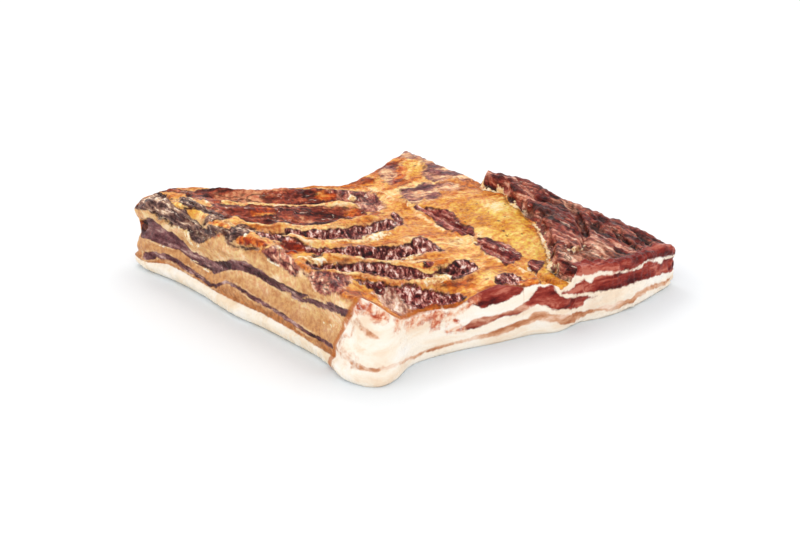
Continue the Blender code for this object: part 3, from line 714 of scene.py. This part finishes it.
# The pale fat at the foot and the fresh cut, which the smoke never reached. The cut reaches a little
# round the front left corner, and a tan line runs on there from it.
LEFT_END_SHARE, HIDDEN_BASE_WAVE = 0.3, 0.4
FRESH_CORNER, FRESH_MARGIN = -92.0, 0.4
TAN_LINE = [(-98.0, 13.5), (-90.0, 15.0), (-80.0, 18.0), (-73.0, 20.0), (-66.0, 21.0)]
TAN_LINE_RIGHT, TAN_LINE_BACK, TAN_HALF_WIDTH = -103.0, -66.0, 1.0
shown = close["left"] > LEFT_END_SHARE
base_top = np.interp(plan[:, 1], *np.array(PALE_BASE, float).T)
base_top = np.where(shown, base_top, BASE_FAT_TOP + HIDDEN_BASE_WAVE * wave)
fields["base"] = base_top - z - in_from_left * shown
fresh_top = np.interp(plan[:, 0], *np.array(FRESH_TOP, float).T)
round_corner = np.interp(z, *np.array(FRESH_SIDE, float).T) - plan[:, 1]
round_corner = np.where(plan[:, 0] < FRESH_CORNER, round_corner, FAR)
fields["fresh"] = np.minimum(fresh_top - z - in_from_front, round_corner)
tan_line = TAN_HALF_WIDTH - np.abs(z - np.interp(plan[:, 1], *np.array(TAN_LINE).T))
at_corner = (plan[:, 0] < TAN_LINE_RIGHT) & (plan[:, 1] < TAN_LINE_BACK)
fields["fresh_tan"] = np.maximum(fields["fresh_tan"], np.where(at_corner, tan_line, -FAR))
for kind in ("fresh_tan", "fresh_brown", "fresh_red", "fresh_pink"):
    fields[kind] = np.minimum(fields[kind], fields["fresh"] + FRESH_MARGIN)

# The smoked crust that edges the cut at its left, unbroken and wider near the corner, and the pink
# mottling of the white fat just under it.
CRUST_RIGHT = 20.0
CORNER_START, CORNER_REACH = -48.0, 14.0
WIDER_START, WIDER_REACH, WIDER_SHARE = -46.0, 8.0, 0.4
MOTTLED_LEFT, MOTTLED_RIGHT = -76.0, -10.0
MOTTLED_ABOVE, MOTTLED_BELOW, MOTTLED_FADE = 1.0, 9.0, 3.0
fields["corner"] = soft_step((CORNER_START - plan[:, 0]) / CORNER_REACH)
fields["crust"] = np.where(plan[:, 0] < CRUST_RIGHT, fields["fresh"], -FAR)
fields["crust"] *= 1.0 - WIDER_SHARE * soft_step((WIDER_START - plan[:, 0]) / WIDER_REACH)
mottled = np.minimum(fields["fresh"] + MOTTLED_ABOVE, MOTTLED_BELOW - fields["fresh"])
mottled = np.minimum(mottled, np.minimum(plan[:, 0] - MOTTLED_LEFT, MOTTLED_RIGHT - plan[:, 0]))
fields["fresh_pink"] = np.maximum(fields["fresh_pink"], mottled - MOTTLED_FADE)

# The layers of lean at the right and back sides. Each has its middle height, its half thickness and
# how much of the layers' wave it follows.
HIDDEN_LAYERS = ((22.0, 3.2, 1.0), (14.0, 0.9, 0.5))
HIDDEN_SIDE_SHARE, HIDDEN_BELOW = 0.6, 4.0
hidden_layers = np.max([
    half_thickness - np.abs(z - middle - follows * wave) for middle, half_thickness, follows in HIDDEN_LAYERS
], axis=0)
hidden_side = np.maximum(close["right"], close["back"]) * (1.0 - close["left"])
hidden_layers = np.where((hidden_side > HIDDEN_SIDE_SHARE) & (below > HIDDEN_BELOW), hidden_layers, -FAR)
fields["lean"] = np.maximum(fields["lean"], hidden_layers)

# The rim dries and curls: the upper face stands up or sinks a little along the back and right edges,
# by these heights in millimetres at places in plan.
RIM_CURL = [
    (-123, 154, 1.8), (-115, 149, 1.6), (-106, 147, 1.8), (-97, 145, 1.6), (-90, 140, 0.4), (-82, 136, -1.2),
    (-75, 130, -1.8), (-67, 126, -1.8), (-58, 123, -1.8), (-49, 121, -1.6), (-40, 119, -0.6),
    (-21, 116, 1.0), (10, 112, 1.0), (43, 110, 1.0), (57, 114, 1.8), (73, 119, 1.8), (91, 127, 1.8),
    (109, 134, 1.4),
    (112, 123, 1.8), (114, 110, 1.8), (116, 97, 1.8), (118, 85, 1.8), (121, 74, 1.4), (124, 63, -1.0),
    (128, 52, -3.2), (130, 41, 0.6), (130, 27, 1.8), (135, 18, 1.8), (136, -7, 1.8), (141, -29, 1.4),
    (145, -50, 0.8), (149, -72, 1.8), (152, -82, 1.8), (155, -91, 1.8), (154, -103, 1.8), (157, -113, 1.8),
]
RIM_REACH, RIM_DEPTH = 11.0, 12.0
curl = np.array(RIM_CURL, float)
nearness = np.exp(-(np.linalg.norm(plan[:, None, :] - curl[None, :, :2], axis=2) / RIM_REACH) ** 2)
rim_curl = (nearness * curl[:, 2]).sum(axis=1) / np.maximum(nearness.sum(axis=1), 1.0)
rim_curl *= soft_step(1.0 - below / RIM_DEPTH)

# Fine relief along the surface's own direction: grains in the beds, fibres on the flank, flaps of
# fat that stand up and dark clefts that sink. Lumps per millimetre are given across, back and up.
BORDER_WIDTH, KEPT_BASE = 1.6, 1.0
BED_COSINE, BED_SINE = 0.91, 0.41
GRAIN_SIZE, GRAIN_HEIGHT, GRAIN_LEVEL = (2.3, 4.4, 4.0), 2.0, 0.42
FLANK_FOLDS, FOLD_HEIGHT = (0.25, 0.07, 0.1), 1.8
FLANK_FIBRES, FIBRE_HEIGHT = (0.6, 0.2, 0.3), 0.8
BROWN_STREAKS, FAT_STREAKS, STREAK_HEIGHT = (0.12, 0.5, 0.3), (0.1, 0.3, 0.2), 0.8
LUMPY = {"red": (4.0, 0.9), "cap": (4.5, 1.6), "rosy": (5.0, 0.8)}
FAT_LUMPS = (4.0, 0.35)
RISES = {"ivory": 0.9, "crest": 0.9, "dark": -2.0, "lean": -0.5}
inside = {kind: soft_step(values / BORDER_WIDTH + 0.5) for kind, values in fields.items()}
turned = np.column_stack([
    BED_COSINE * plan[:, 0] + BED_SINE * plan[:, 1], BED_COSINE * plan[:, 1] - BED_SINE * plan[:, 0], z,
])
grains = np.array([noise.voronoi(Vector(place))[0][0] for place in turned / GRAIN_SIZE])
amount = GRAIN_HEIGHT * np.maximum(inside["grain"], inside["ruby"]) * (GRAIN_LEVEL - grains)
flank_folds = lumps(places * FLANK_FOLDS, 1.0, FOLD_HEIGHT)
amount += inside["flank"] * (flank_folds + lumps(places * FLANK_FIBRES, 1.0, FIBRE_HEIGHT))
amount += inside["brown"] * lumps(turned * BROWN_STREAKS, 1.0, STREAK_HEIGHT)
for kind, (size, rise) in LUMPY.items():
    amount += inside[kind] * lumps(places, size, rise)
amount += sum(rise * inside[kind] for kind, rise in RISES.items())
smoked_fat = lumps(turned * FAT_STREAKS, 1.0, STREAK_HEIGHT) + lumps(places, *FAT_LUMPS)
amount += (1.0 - inside["fresh"]) * smoked_fat + rim_curl
amount *= (w > 0.0) & (z > KEPT_BASE)
places = places + normals * amount[:, None]
places[:, 2] = np.maximum(places[:, 2], 0.0)
places = (places - np.array([*PLAN_MIDDLE, 0.0])) * METRES
for vertex, place in zip(mesh.verts, places):
    vertex.co = place
belly_data = bpy.data.meshes.new("smoked_belly")
mesh.to_mesh(belly_data)
mesh.free()
belly_data.shade_smooth()
for kind, values in fields.items():
    layer = belly_data.attributes.new(kind, "FLOAT", "POINT")
    layer.data.foreach_set("value", np.asarray(values, dtype=np.float32))
belly = bpy.data.objects.new("smoked_belly", belly_data)
bpy.context.scene.collection.objects.link(belly)

# The finish of the meat: one material that lays the smoked fat first, then the patches of meat and
# fat over it in turn, with painted shade in clefts, creases and along borders and painted
# highlights as glints, then the pale base and the fresh cut. Each patch border is torn by noise.
MASK_DETAIL, MASK_ROUGHNESS, MASK_REACH = 4.0, 0.65, 5.0


def colour(red, green, blue):
    """Linear colour of a colour as seen on a screen, 0 to 255."""
    return tuple(c / 12.92 if c <= 0.04045 else ((c + 0.055) / 1.055) ** 2.4
                 for c in (red / 255, green / 255, blue / 255)) + (1.0,)


def grey(value):
    return (value, value, value, 1.0)


def ragged_mask_group():
    """Turns a distance inside a patch into a mask with a torn edge."""
    group = bpy.data.node_groups.new("ragged_mask", "ShaderNodeTree")
    group.interface.new_socket("Coordinates", in_out="INPUT", socket_type="NodeSocketVector")
    for name in ("Distance", "Detail Size", "Stray", "Softness"):
        group.interface.new_socket(name, in_out="INPUT", socket_type="NodeSocketFloat")
    group.interface.new_socket("Mask", in_out="OUTPUT", socket_type="NodeSocketFloat")
    nodes, links = group.nodes, group.links
    inputs, output = nodes.new("NodeGroupInput"), nodes.new("NodeGroupOutput")
    rough = nodes.new("ShaderNodeTexNoise")
    rough.inputs["Detail"].default_value = MASK_DETAIL
    rough.inputs["Roughness"].default_value = MASK_ROUGHNESS
    links.new(inputs.outputs["Coordinates"], rough.inputs["Vector"])
    links.new(inputs.outputs["Detail Size"], rough.inputs["Scale"])
    centred = nodes.new("ShaderNodeMath")
    centred.operation = "SUBTRACT"
    centred.inputs[1].default_value = 0.5
    links.new(rough.outputs["Fac"], centred.inputs[0])
    strayed = nodes.new("ShaderNodeMath")
    strayed.operation = "MULTIPLY"
    links.new(centred.outputs[0], strayed.inputs[0])
    links.new(inputs.outputs["Stray"], strayed.inputs[1])
    sum_up = nodes.new("ShaderNodeMath")
    sum_up.operation = "MULTIPLY_ADD"
    sum_up.inputs[1].default_value = MASK_REACH
    links.new(strayed.outputs[0], sum_up.inputs[0])
    links.new(inputs.outputs["Distance"], sum_up.inputs[2])
    low = nodes.new("ShaderNodeMath")
    low.operation = "MULTIPLY"
    low.inputs[1].default_value = -1.0
    links.new(inputs.outputs["Softness"], low.inputs[0])
    remap = nodes.new("ShaderNodeMapRange")
    remap.interpolation_type = "SMOOTHSTEP"
    links.new(sum_up.outputs[0], remap.inputs["Value"])
    links.new(low.outputs[0], remap.inputs["From Min"])
    links.new(inputs.outputs["Softness"], remap.inputs["From Max"])
    links.new(remap.outputs["Result"], output.inputs["Mask"])
    return group


RAGGED_MASK = ragged_mask_group()
meat = bpy.data.materials.new("smoked_belly_meat")
meat.use_nodes = True
nodes, links = meat.node_tree.nodes, meat.node_tree.links
principled = nodes["Principled BSDF"]
coordinates = nodes.new("ShaderNodeTexCoord").outputs["Object"]


def field(name):
    node = nodes.new("ShaderNodeAttribute")
    node.attribute_name = name
    return node.outputs["Fac"]


def stretched(direction, length):
    """Coordinates that draw a texture out along a direction in plan, given in degrees."""
    node = nodes.new("ShaderNodeMapping")
    node.vector_type = "TEXTURE"
    node.inputs["Rotation"].default_value[2] = math.radians(direction)
    node.inputs["Scale"].default_value[0] = length
    links.new(coordinates, node.inputs["Vector"])
    return node.outputs["Vector"]


def speckle(scale, detail=3.0, roughness=0.55, distortion=0.0, vector=None):
    node = nodes.new("ShaderNodeTexNoise")
    node.inputs["Scale"].default_value = scale
    node.inputs["Detail"].default_value = detail
    node.inputs["Roughness"].default_value = roughness
    node.inputs["Distortion"].default_value = distortion
    links.new(vector or coordinates, node.inputs["Vector"])
    return node.outputs["Fac"]


def between(value, low, high):
    """0 below low and 1 above high."""
    node = nodes.new("ShaderNodeMapRange")
    node.interpolation_type = "SMOOTHSTEP"
    node.inputs["From Min"].default_value = low
    node.inputs["From Max"].default_value = high
    links.new(value, node.inputs["Value"])
    return node.outputs["Result"]


def calculate(operation, *items):
    node = nodes.new("ShaderNodeMath")
    node.operation = operation
    for socket, item in zip(node.inputs, items):
        if isinstance(item, (int, float)):
            socket.default_value = item
        else:
            links.new(item, socket)
    return node.outputs[0]


def blend(mask, under, over, mode="MIX"):
    node = nodes.new("ShaderNodeMix")
    node.data_type = "RGBA"
    node.blend_type = mode
    for name, item in (("Factor", mask), ("A", under), ("B", over)):
        socket = [s for s in node.inputs if s.name == name and s.enabled][0]
        if isinstance(item, (int, float, tuple)):
            socket.default_value = item
        else:
            links.new(item, socket)
    return [s for s in node.outputs if s.enabled][0]


def ramp(value, stops):
    node = nodes.new("ShaderNodeValToRGB")
    elements = node.color_ramp.elements
    elements[0].position, elements[0].color = stops[0]
    elements[1].position, elements[1].color = stops[-1]
    for position, tint in stops[1:-1]:
        element = elements.new(position)
        element.color = tint
    links.new(value, node.inputs["Fac"])
    return node.outputs["Color"]


def laid_over(under, mask, strength, tint):
    """A look with a tint over it, as far as the mask and the strength let it through."""
    return blend(calculate("MULTIPLY", mask, strength), under, colour(*tint))


def band(value, rise, fall):
    """1 in a band of values, with the two values of its rise and the two of its fall."""
    return calculate("MULTIPLY", between(value, *rise), between(value, *fall))


def torn_mask(distance, size, stray, softness):
    node = nodes.new("ShaderNodeGroup")
    node.node_tree = RAGGED_MASK
    links.new(distance, node.inputs["Distance"])
    links.new(coordinates, node.inputs["Coordinates"])
    node.inputs["Detail Size"].default_value = size
    node.inputs["Stray"].default_value = stray
    node.inputs["Softness"].default_value = softness
    return node.outputs["Mask"]


along_beds = stretched(-18.0, 3.4)
across_beds = stretched(64.0, 3.2)
along_fibres = stretched(95.0, 5.0)
along_mound = stretched(20.0, 1.8)
along_cut = stretched(0.0, 4.5)
along_end = stretched(90.0, 4.0)
along_side = stretched(90.0, 2.0)

# Smoked fat: orange tan on the upper face, drawn out along the beds, and duller down the sides,
# where a brown line runs over the pale base.
fat_top = ramp(speckle(42.0, 5.0, 0.64, 0.7, along_beds), [
    (0.34, colour(146, 58, 18)), (0.42, colour(200, 110, 38)), (0.49, colour(224, 150, 64)),
    (0.57, colour(238, 180, 98)), (0.68, colour(250, 216, 152)),
])
fat_streaks = between(speckle(95.0, 6.0, 0.66, 0.8, along_beds), 0.55, 0.63)
fat_top = laid_over(fat_top, fat_streaks, 0.45, (156, 72, 32))
fat_side = ramp(speckle(85.0, 5.0, 0.6, 0.4, along_side), [
    (0.32, colour(186, 122, 68)), (0.42, colour(212, 158, 102)), (0.50, colour(224, 176, 118)),
    (0.58, colour(236, 192, 140)), (0.68, colour(250, 222, 184)),
])
fat_side = laid_over(fat_side, between(field("base"), -28.0, -12.0), 0.75, (198, 138, 86))
broken = between(speckle(90.0, 5.0, 0.7), 0.36, 0.54)
over_base = calculate("MULTIPLY", between(field("base"), -9.0, -3.0), broken)
fat_side = laid_over(fat_side, over_base, 0.8, (176, 104, 54))
skin = blend(between(field("below"), 2.0, 6.0), fat_top, fat_side)

# Each kind of patch: size of its noise, the noise's direction, how far its border strays, how soft
# the border is, and its colours from the darkest to the palest.
PATCH_LOOKS = {
    "yellow": (40.0, along_mound, 1.6, 3.0, [
        (200, 120, 28), (220, 154, 48), (230, 178, 78), (240, 200, 110), (252, 230, 176)]),
    "amber": (80.0, along_beds, 1.8, 2.0, [
        (130, 44, 10), (172, 78, 18), (202, 106, 28), (220, 138, 50), (242, 190, 110)]),
    "crest": (90.0, along_beds, 0.6, 0.9, [
        (200, 112, 48), (222, 150, 80), (238, 184, 114), (248, 212, 154), (253, 232, 196)]),
    "brown": (90.0, along_beds, 1.0, 0.8, [
        (48, 4, 4), (94, 26, 14), (138, 54, 36), (170, 80, 52), (224, 152, 110)]),
    "grain": (300.0, across_beds, 1.0, 0.7, [
        (32, 2, 6), (84, 20, 22), (130, 60, 54), (182, 114, 100), (252, 222, 210)]),
    "ruby": (300.0, across_beds, 1.0, 0.8, [
        (34, 0, 4), (92, 16, 20), (144, 64, 58), (198, 134, 122), (254, 226, 216)]),
    "marbled": (220.0, across_beds, 2.4, 2.4, [
        (130, 66, 52), (180, 126, 104), (210, 166, 142), (228, 194, 172), (250, 228, 210)]),
    "pale": (130.0, along_beds, 2.4, 2.4, [
        (78, 28, 34), (124, 66, 66), (168, 106, 92), (208, 150, 112), (244, 200, 152)]),
    "red": (140.0, along_fibres, 1.0, 0.7, [
        (46, 4, 8), (100, 24, 26), (142, 58, 50), (180, 98, 82), (236, 184, 164)]),
    "rosy": (170.0, across_beds, 1.4, 1.4, [
        (76, 20, 22), (126, 54, 48), (168, 96, 80), (200, 134, 106), (246, 202, 172)]),
    "rust": (120.0, along_beds, 1.8, 2.0, [
        (104, 24, 8), (148, 44, 10), (186, 76, 20), (214, 114, 38), (242, 178, 96)]),
    "cap": (200.0, along_end, 1.0, 0.8, [
        (46, 18, 16), (92, 58, 54), (134, 98, 86), (176, 134, 110), (248, 220, 190)]),
    "lean": (140.0, along_end, 0.5, 0.5, [
        (56, 18, 22), (92, 48, 52), (112, 68, 70), (140, 94, 92), (202, 166, 156)]),
    "flank": (150.0, along_fibres, 0.8, 0.5, [
        (46, 4, 4), (98, 26, 20), (138, 60, 48), (166, 90, 70), (220, 158, 134)]),
    "dry": (150.0, along_fibres, 1.6, 2.0, [
        (88, 34, 24), (136, 70, 50), (166, 102, 78), (190, 132, 106), (236, 192, 164)]),
    "ivory": (160.0, coordinates, 1.2, 0.7, [
        (198, 136, 74), (226, 180, 120), (242, 212, 162), (250, 232, 196), (254, 246, 228)]),
    # Painted shade: the colours of the dark patches in clefts and cracks.
    "dark": (160.0, along_fibres, 1.6, 1.4, [
        (26, 8, 8), (46, 18, 14), (70, 30, 24), (102, 54, 42), (150, 98, 78)]),
    "base": (60.0, along_cut, 0.5, 0.7, [
        (242, 218, 186), (247, 228, 202), (250, 237, 217), (252, 241, 225), (253, 245, 234)]),
    "fresh": (60.0, along_cut, 0.8, 0.7, [
        (246, 222, 196), (250, 233, 212), (253, 241, 224), (254, 244, 230), (255, 249, 240)]),
    "fresh_tan": (120.0, along_cut, 0.6, 0.8, [
        (178, 108, 70), (200, 138, 100), (218, 164, 130), (232, 190, 162), (246, 220, 200)]),
    "fresh_brown": (120.0, along_cut, 0.6, 0.8, [
        (116, 40, 28), (146, 66, 50), (170, 92, 70), (190, 120, 94), (224, 170, 144)]),
    "fresh_red": (120.0, along_cut, 0.8, 0.8, [
        (72, 4, 4), (106, 20, 14), (136, 40, 30), (158, 60, 46), (198, 112, 92)]),
    "fresh_pink": (150.0, coordinates, 3.0, 2.6, [
        (170, 66, 40), (204, 110, 78), (226, 152, 118), (242, 196, 164), (252, 232, 212)]),
}
RAMP_PLACES = (0.36, 0.44, 0.50, 0.56, 0.64)
BORDER_NOISE = 260.0
# Kinds whose border gets painted shade: a dark line just inside the edge.
SHADE_RIMMED = ("brown", "grain", "ruby", "red", "cap")
# Kinds with painted shade in thin dark crease lines.
CREASE_SHADED = ("cap", "flank", "rosy", "dry", "brown", "lean")
# Painted highlights: pale glints laid over these kinds of meat, with their strengths.
PAINTED_GLINTS = {"cap": 0.7, "flank": 0.5, "brown": 0.6, "red": 0.7, "rosy": 0.6}
for kind, (size, direction, border_stray, softness, tints) in PATCH_LOOKS.items():
    distance = field(kind)
    stops = [(place, colour(*tint)) for place, tint in zip(RAMP_PLACES, tints)]
    look = ramp(speckle(size, 4.0, 0.62, 0.3, direction), stops)
    if kind == "fresh_red":
        look = laid_over(look, between(field("fresh"), 4.5, 1.0), 0.6, (136, 34, 28))
    if kind == "yellow":
        look = laid_over(look, between(distance, 8.0, 1.0), 0.35, (220, 138, 44))
        pores = between(speckle(210.0, 2.0, 0.5), 0.67, 0.71)
        look = laid_over(look, pores, 0.8, (112, 58, 20))
    if kind in PAINTED_GLINTS:
        # Painted highlights: small pale glint flecks.
        painted_glints = between(speckle(300.0, 3.0, 0.6, 0.0, direction), 0.62, 0.68)
        look = laid_over(look, painted_glints, PAINTED_GLINTS[kind], (250, 222, 200))
    if kind in CREASE_SHADED:
        # Painted shade: thin dark lines where the surface creases.
        from_middle = calculate("SUBTRACT", speckle(0.36 * size, 4.0, 0.55, 0.8, direction), 0.5)
        crease_shade = between(calculate("ABSOLUTE", from_middle), 0.022, 0.004)
        look = laid_over(look, crease_shade, 0.65, (44, 14, 12))
    skin = blend(torn_mask(distance, BORDER_NOISE, border_stray, softness), skin, look)
    if kind in SHADE_RIMMED:
        # Painted shade along the inside of the border, broken by noise.
        rim = band(distance, (-0.4, 0.3), (1.8, 0.5))
        rim = calculate("MULTIPLY", rim, between(speckle(150.0, 3.0, 0.6), 0.36, 0.52))
        skin = laid_over(skin, rim, 0.7, (62, 20, 16))
    if kind in ("grain", "brown"):
        # A pale band of crest fat just outside each bed, partly the fat's colour and partly a painted
        # highlight along the crest.
        skin = laid_over(skin, band(distance, (-3.2, -0.8), (0.3, -0.4)), 0.22, (246, 206, 150))
    if kind == "flank":
        # Painted shadow: a dark band on the fat just outside the flank, under the muscle's torn edge.
        skin = laid_over(skin, band(distance, (-4.0, -2.0), (-0.8, -1.4)), 0.5, (126, 62, 22))
        torn_edge = calculate("SUBTRACT", speckle(150.0, 3.0, 0.65), 0.5)
        torn_edge = calculate("MULTIPLY_ADD", torn_edge, 7.0, distance)
        torn_fat = band(torn_edge, (-2.3, -1.4), (1.1, 0.4))
        torn_fat = calculate("MULTIPLY", torn_fat, between(speckle(65.0, 3.0, 0.6), 0.44, 0.51))
        skin = laid_over(skin, torn_fat, 0.95, (252, 226, 182))
    if kind == "lean":
        # Painted highlight: a pale line along the edges of each lean layer.
        lean_edge_highlight = band(distance, (-2.2, -0.8), (0.0, -0.5))
        lean_edge_highlight = calculate("MULTIPLY", lean_edge_highlight, between(speckle(60.0, 3.0, 0.6), 0.46, 0.6))
        skin = laid_over(skin, lean_edge_highlight, 0.6, (236, 206, 160))
    if kind == "dark":
        grit = ramp(speckle(330.0, 3.0, 0.6), [(0.38, grey(0.12)), (0.50, grey(0.46)), (0.62, grey(0.80))])
        grit_amount = calculate("MULTIPLY_ADD", between(field("below"), 8.0, 3.0), 0.25, 0.35)
        skin = blend(grit_amount, skin, grit, "OVERLAY")
    if kind == "fresh":
        unbroken = calculate("MAXIMUM", field("corner"), between(speckle(48.0, 4.0, 0.6), 0.42, 0.60))
        crust = calculate("MULTIPLY", band(field("crust"), (-2.8, -1.4), (1.2, 0.2)), unbroken)
        skin = laid_over(skin, crust, 0.8, (184, 100, 32))
links.new(skin, principled.inputs["Base Color"])

# Gloss and fine ripples: the surface is greasy in places and dull in others, and its skin has
# shrunk a little as it dried.
SHEEN, RIPPLE_STRENGTH, RIPPLE_HEIGHT, COARSE_SHARE = 0.16, 0.6, 0.0012, 2.0
gloss = ramp(speckle(180.0, 4.0, 0.6), [(0.35, grey(0.22)), (0.65, grey(0.50))])
links.new(gloss, principled.inputs["Roughness"])
principled.inputs["Specular IOR Level"].default_value = SHEEN
ripples = calculate("MULTIPLY", speckle(90.0, 4.0, 0.62, 0.4, along_beds), COARSE_SHARE)
fine = nodes.new("ShaderNodeBump")
fine.inputs["Strength"].default_value = RIPPLE_STRENGTH
fine.inputs["Distance"].default_value = RIPPLE_HEIGHT
links.new(calculate("ADD", speckle(360.0, 3.0, 0.6), ripples), fine.inputs["Height"])
links.new(fine.outputs["Normal"], principled.inputs["Normal"])
belly_data.materials.append(meat)
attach(belly, "root")
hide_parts("pork_belly")

# The floor: a white matt table with a painted shadow in its colour: it turns a little blue and
# darker close to the slab, where less of the light reaches it.
FLOOR_SIZE, FLOOR_ROUGHNESS = 12.0, 0.9
SHADE_REACH, SHADE_START = 0.045, 0.5
SHADED_WHITE, OPEN_WHITE = (0.745, 0.80, 0.855, 1.0), (0.91, 0.93, 0.95, 1.0)
bpy.ops.mesh.primitive_plane_add(size=FLOOR_SIZE, location=(0.0, 0.0, 0.0))
floor = bpy.context.object
floor.name = "floor"
white = bpy.data.materials.new("white_table")
white.use_nodes = True
floor_nodes, floor_links = white.node_tree.nodes, white.node_tree.links
floor_finish = floor_nodes["Principled BSDF"]
floor_finish.inputs["Roughness"].default_value = FLOOR_ROUGHNESS
# Painted shadow: the table's colour darkens by how closely the slab surrounds each place.
painted_shadow_ao = floor_nodes.new("ShaderNodeAmbientOcclusion")
painted_shadow_ao.inputs["Distance"].default_value = SHADE_REACH
tint = floor_nodes.new("ShaderNodeValToRGB")
tint.color_ramp.elements[0].position = SHADE_START
tint.color_ramp.elements[0].color = SHADED_WHITE
tint.color_ramp.elements[1].color = OPEN_WHITE
floor_links.new(painted_shadow_ao.outputs["AO"], tint.inputs["Fac"])
floor_links.new(tint.outputs["Color"], floor_finish.inputs["Base Color"])
floor.data.materials.append(white)

# The light: a bright, even, slightly warm sky, and two weak soft lamps from the back and the left
# that give the greasy fat its glints.
SKY_COLOUR, SKY_STRENGTH = (1.0, 0.995, 0.985, 1.0), 1.12
LAMP_SIZE = 0.35
world = bpy.data.worlds.new("studio")
bpy.context.scene.world = world
world.use_nodes = True
sky = world.node_tree.nodes["Background"]
sky.inputs["Color"].default_value = SKY_COLOUR
sky.inputs["Strength"].default_value = SKY_STRENGTH


def softbox(name, place, power):
    light = bpy.data.lights.new(name, "AREA")
    light.size = LAMP_SIZE
    light.energy = power
    item = bpy.data.objects.new(name, light)
    bpy.context.scene.collection.objects.link(item)
    item.location = place
    item.rotation_euler = (-Vector(place)).to_track_quat("-Z", "Y").to_euler()


softbox("back", (0.2, 0.9, 1.3), 1.6)
softbox("left", (-0.9, 0.4, 1.2), 1.0)

# The camera looks at the slab from the front left and from above, as in the photo. Its lens
# follows from how many millimetres a pixel shows at the slab.
PICTURE_WIDTH, SENSOR_WIDTH, METRES_A_PIXEL = 800.0, 36.0, 0.00072
CAMERA_AZIMUTH, CAMERA_ELEVATION, CAMERA_DISTANCE = -38.0, 24.5, 1.25
CAMERA_TARGET = Vector((-PLAN_MIDDLE[0] * METRES, -PLAN_MIDDLE[1] * METRES, 0.02))
turn, rise = math.radians(CAMERA_AZIMUTH), math.radians(CAMERA_ELEVATION)
towards_camera = Vector((
    math.sin(turn) * math.cos(rise), -math.cos(turn) * math.cos(rise), math.sin(rise),
))
lens = bpy.data.cameras.new("camera")
lens.lens = SENSOR_WIDTH * (CAMERA_DISTANCE / METRES_A_PIXEL) / PICTURE_WIDTH
camera = bpy.data.objects.new("camera", lens)
bpy.context.scene.collection.objects.link(camera)
camera.location = CAMERA_TARGET + towards_camera * CAMERA_DISTANCE
camera.rotation_euler = towards_camera.to_track_quat("Z", "Y").to_euler()
bpy.context.scene.camera = camera
bpy.context.scene.view_settings.view_transform = "Standard"
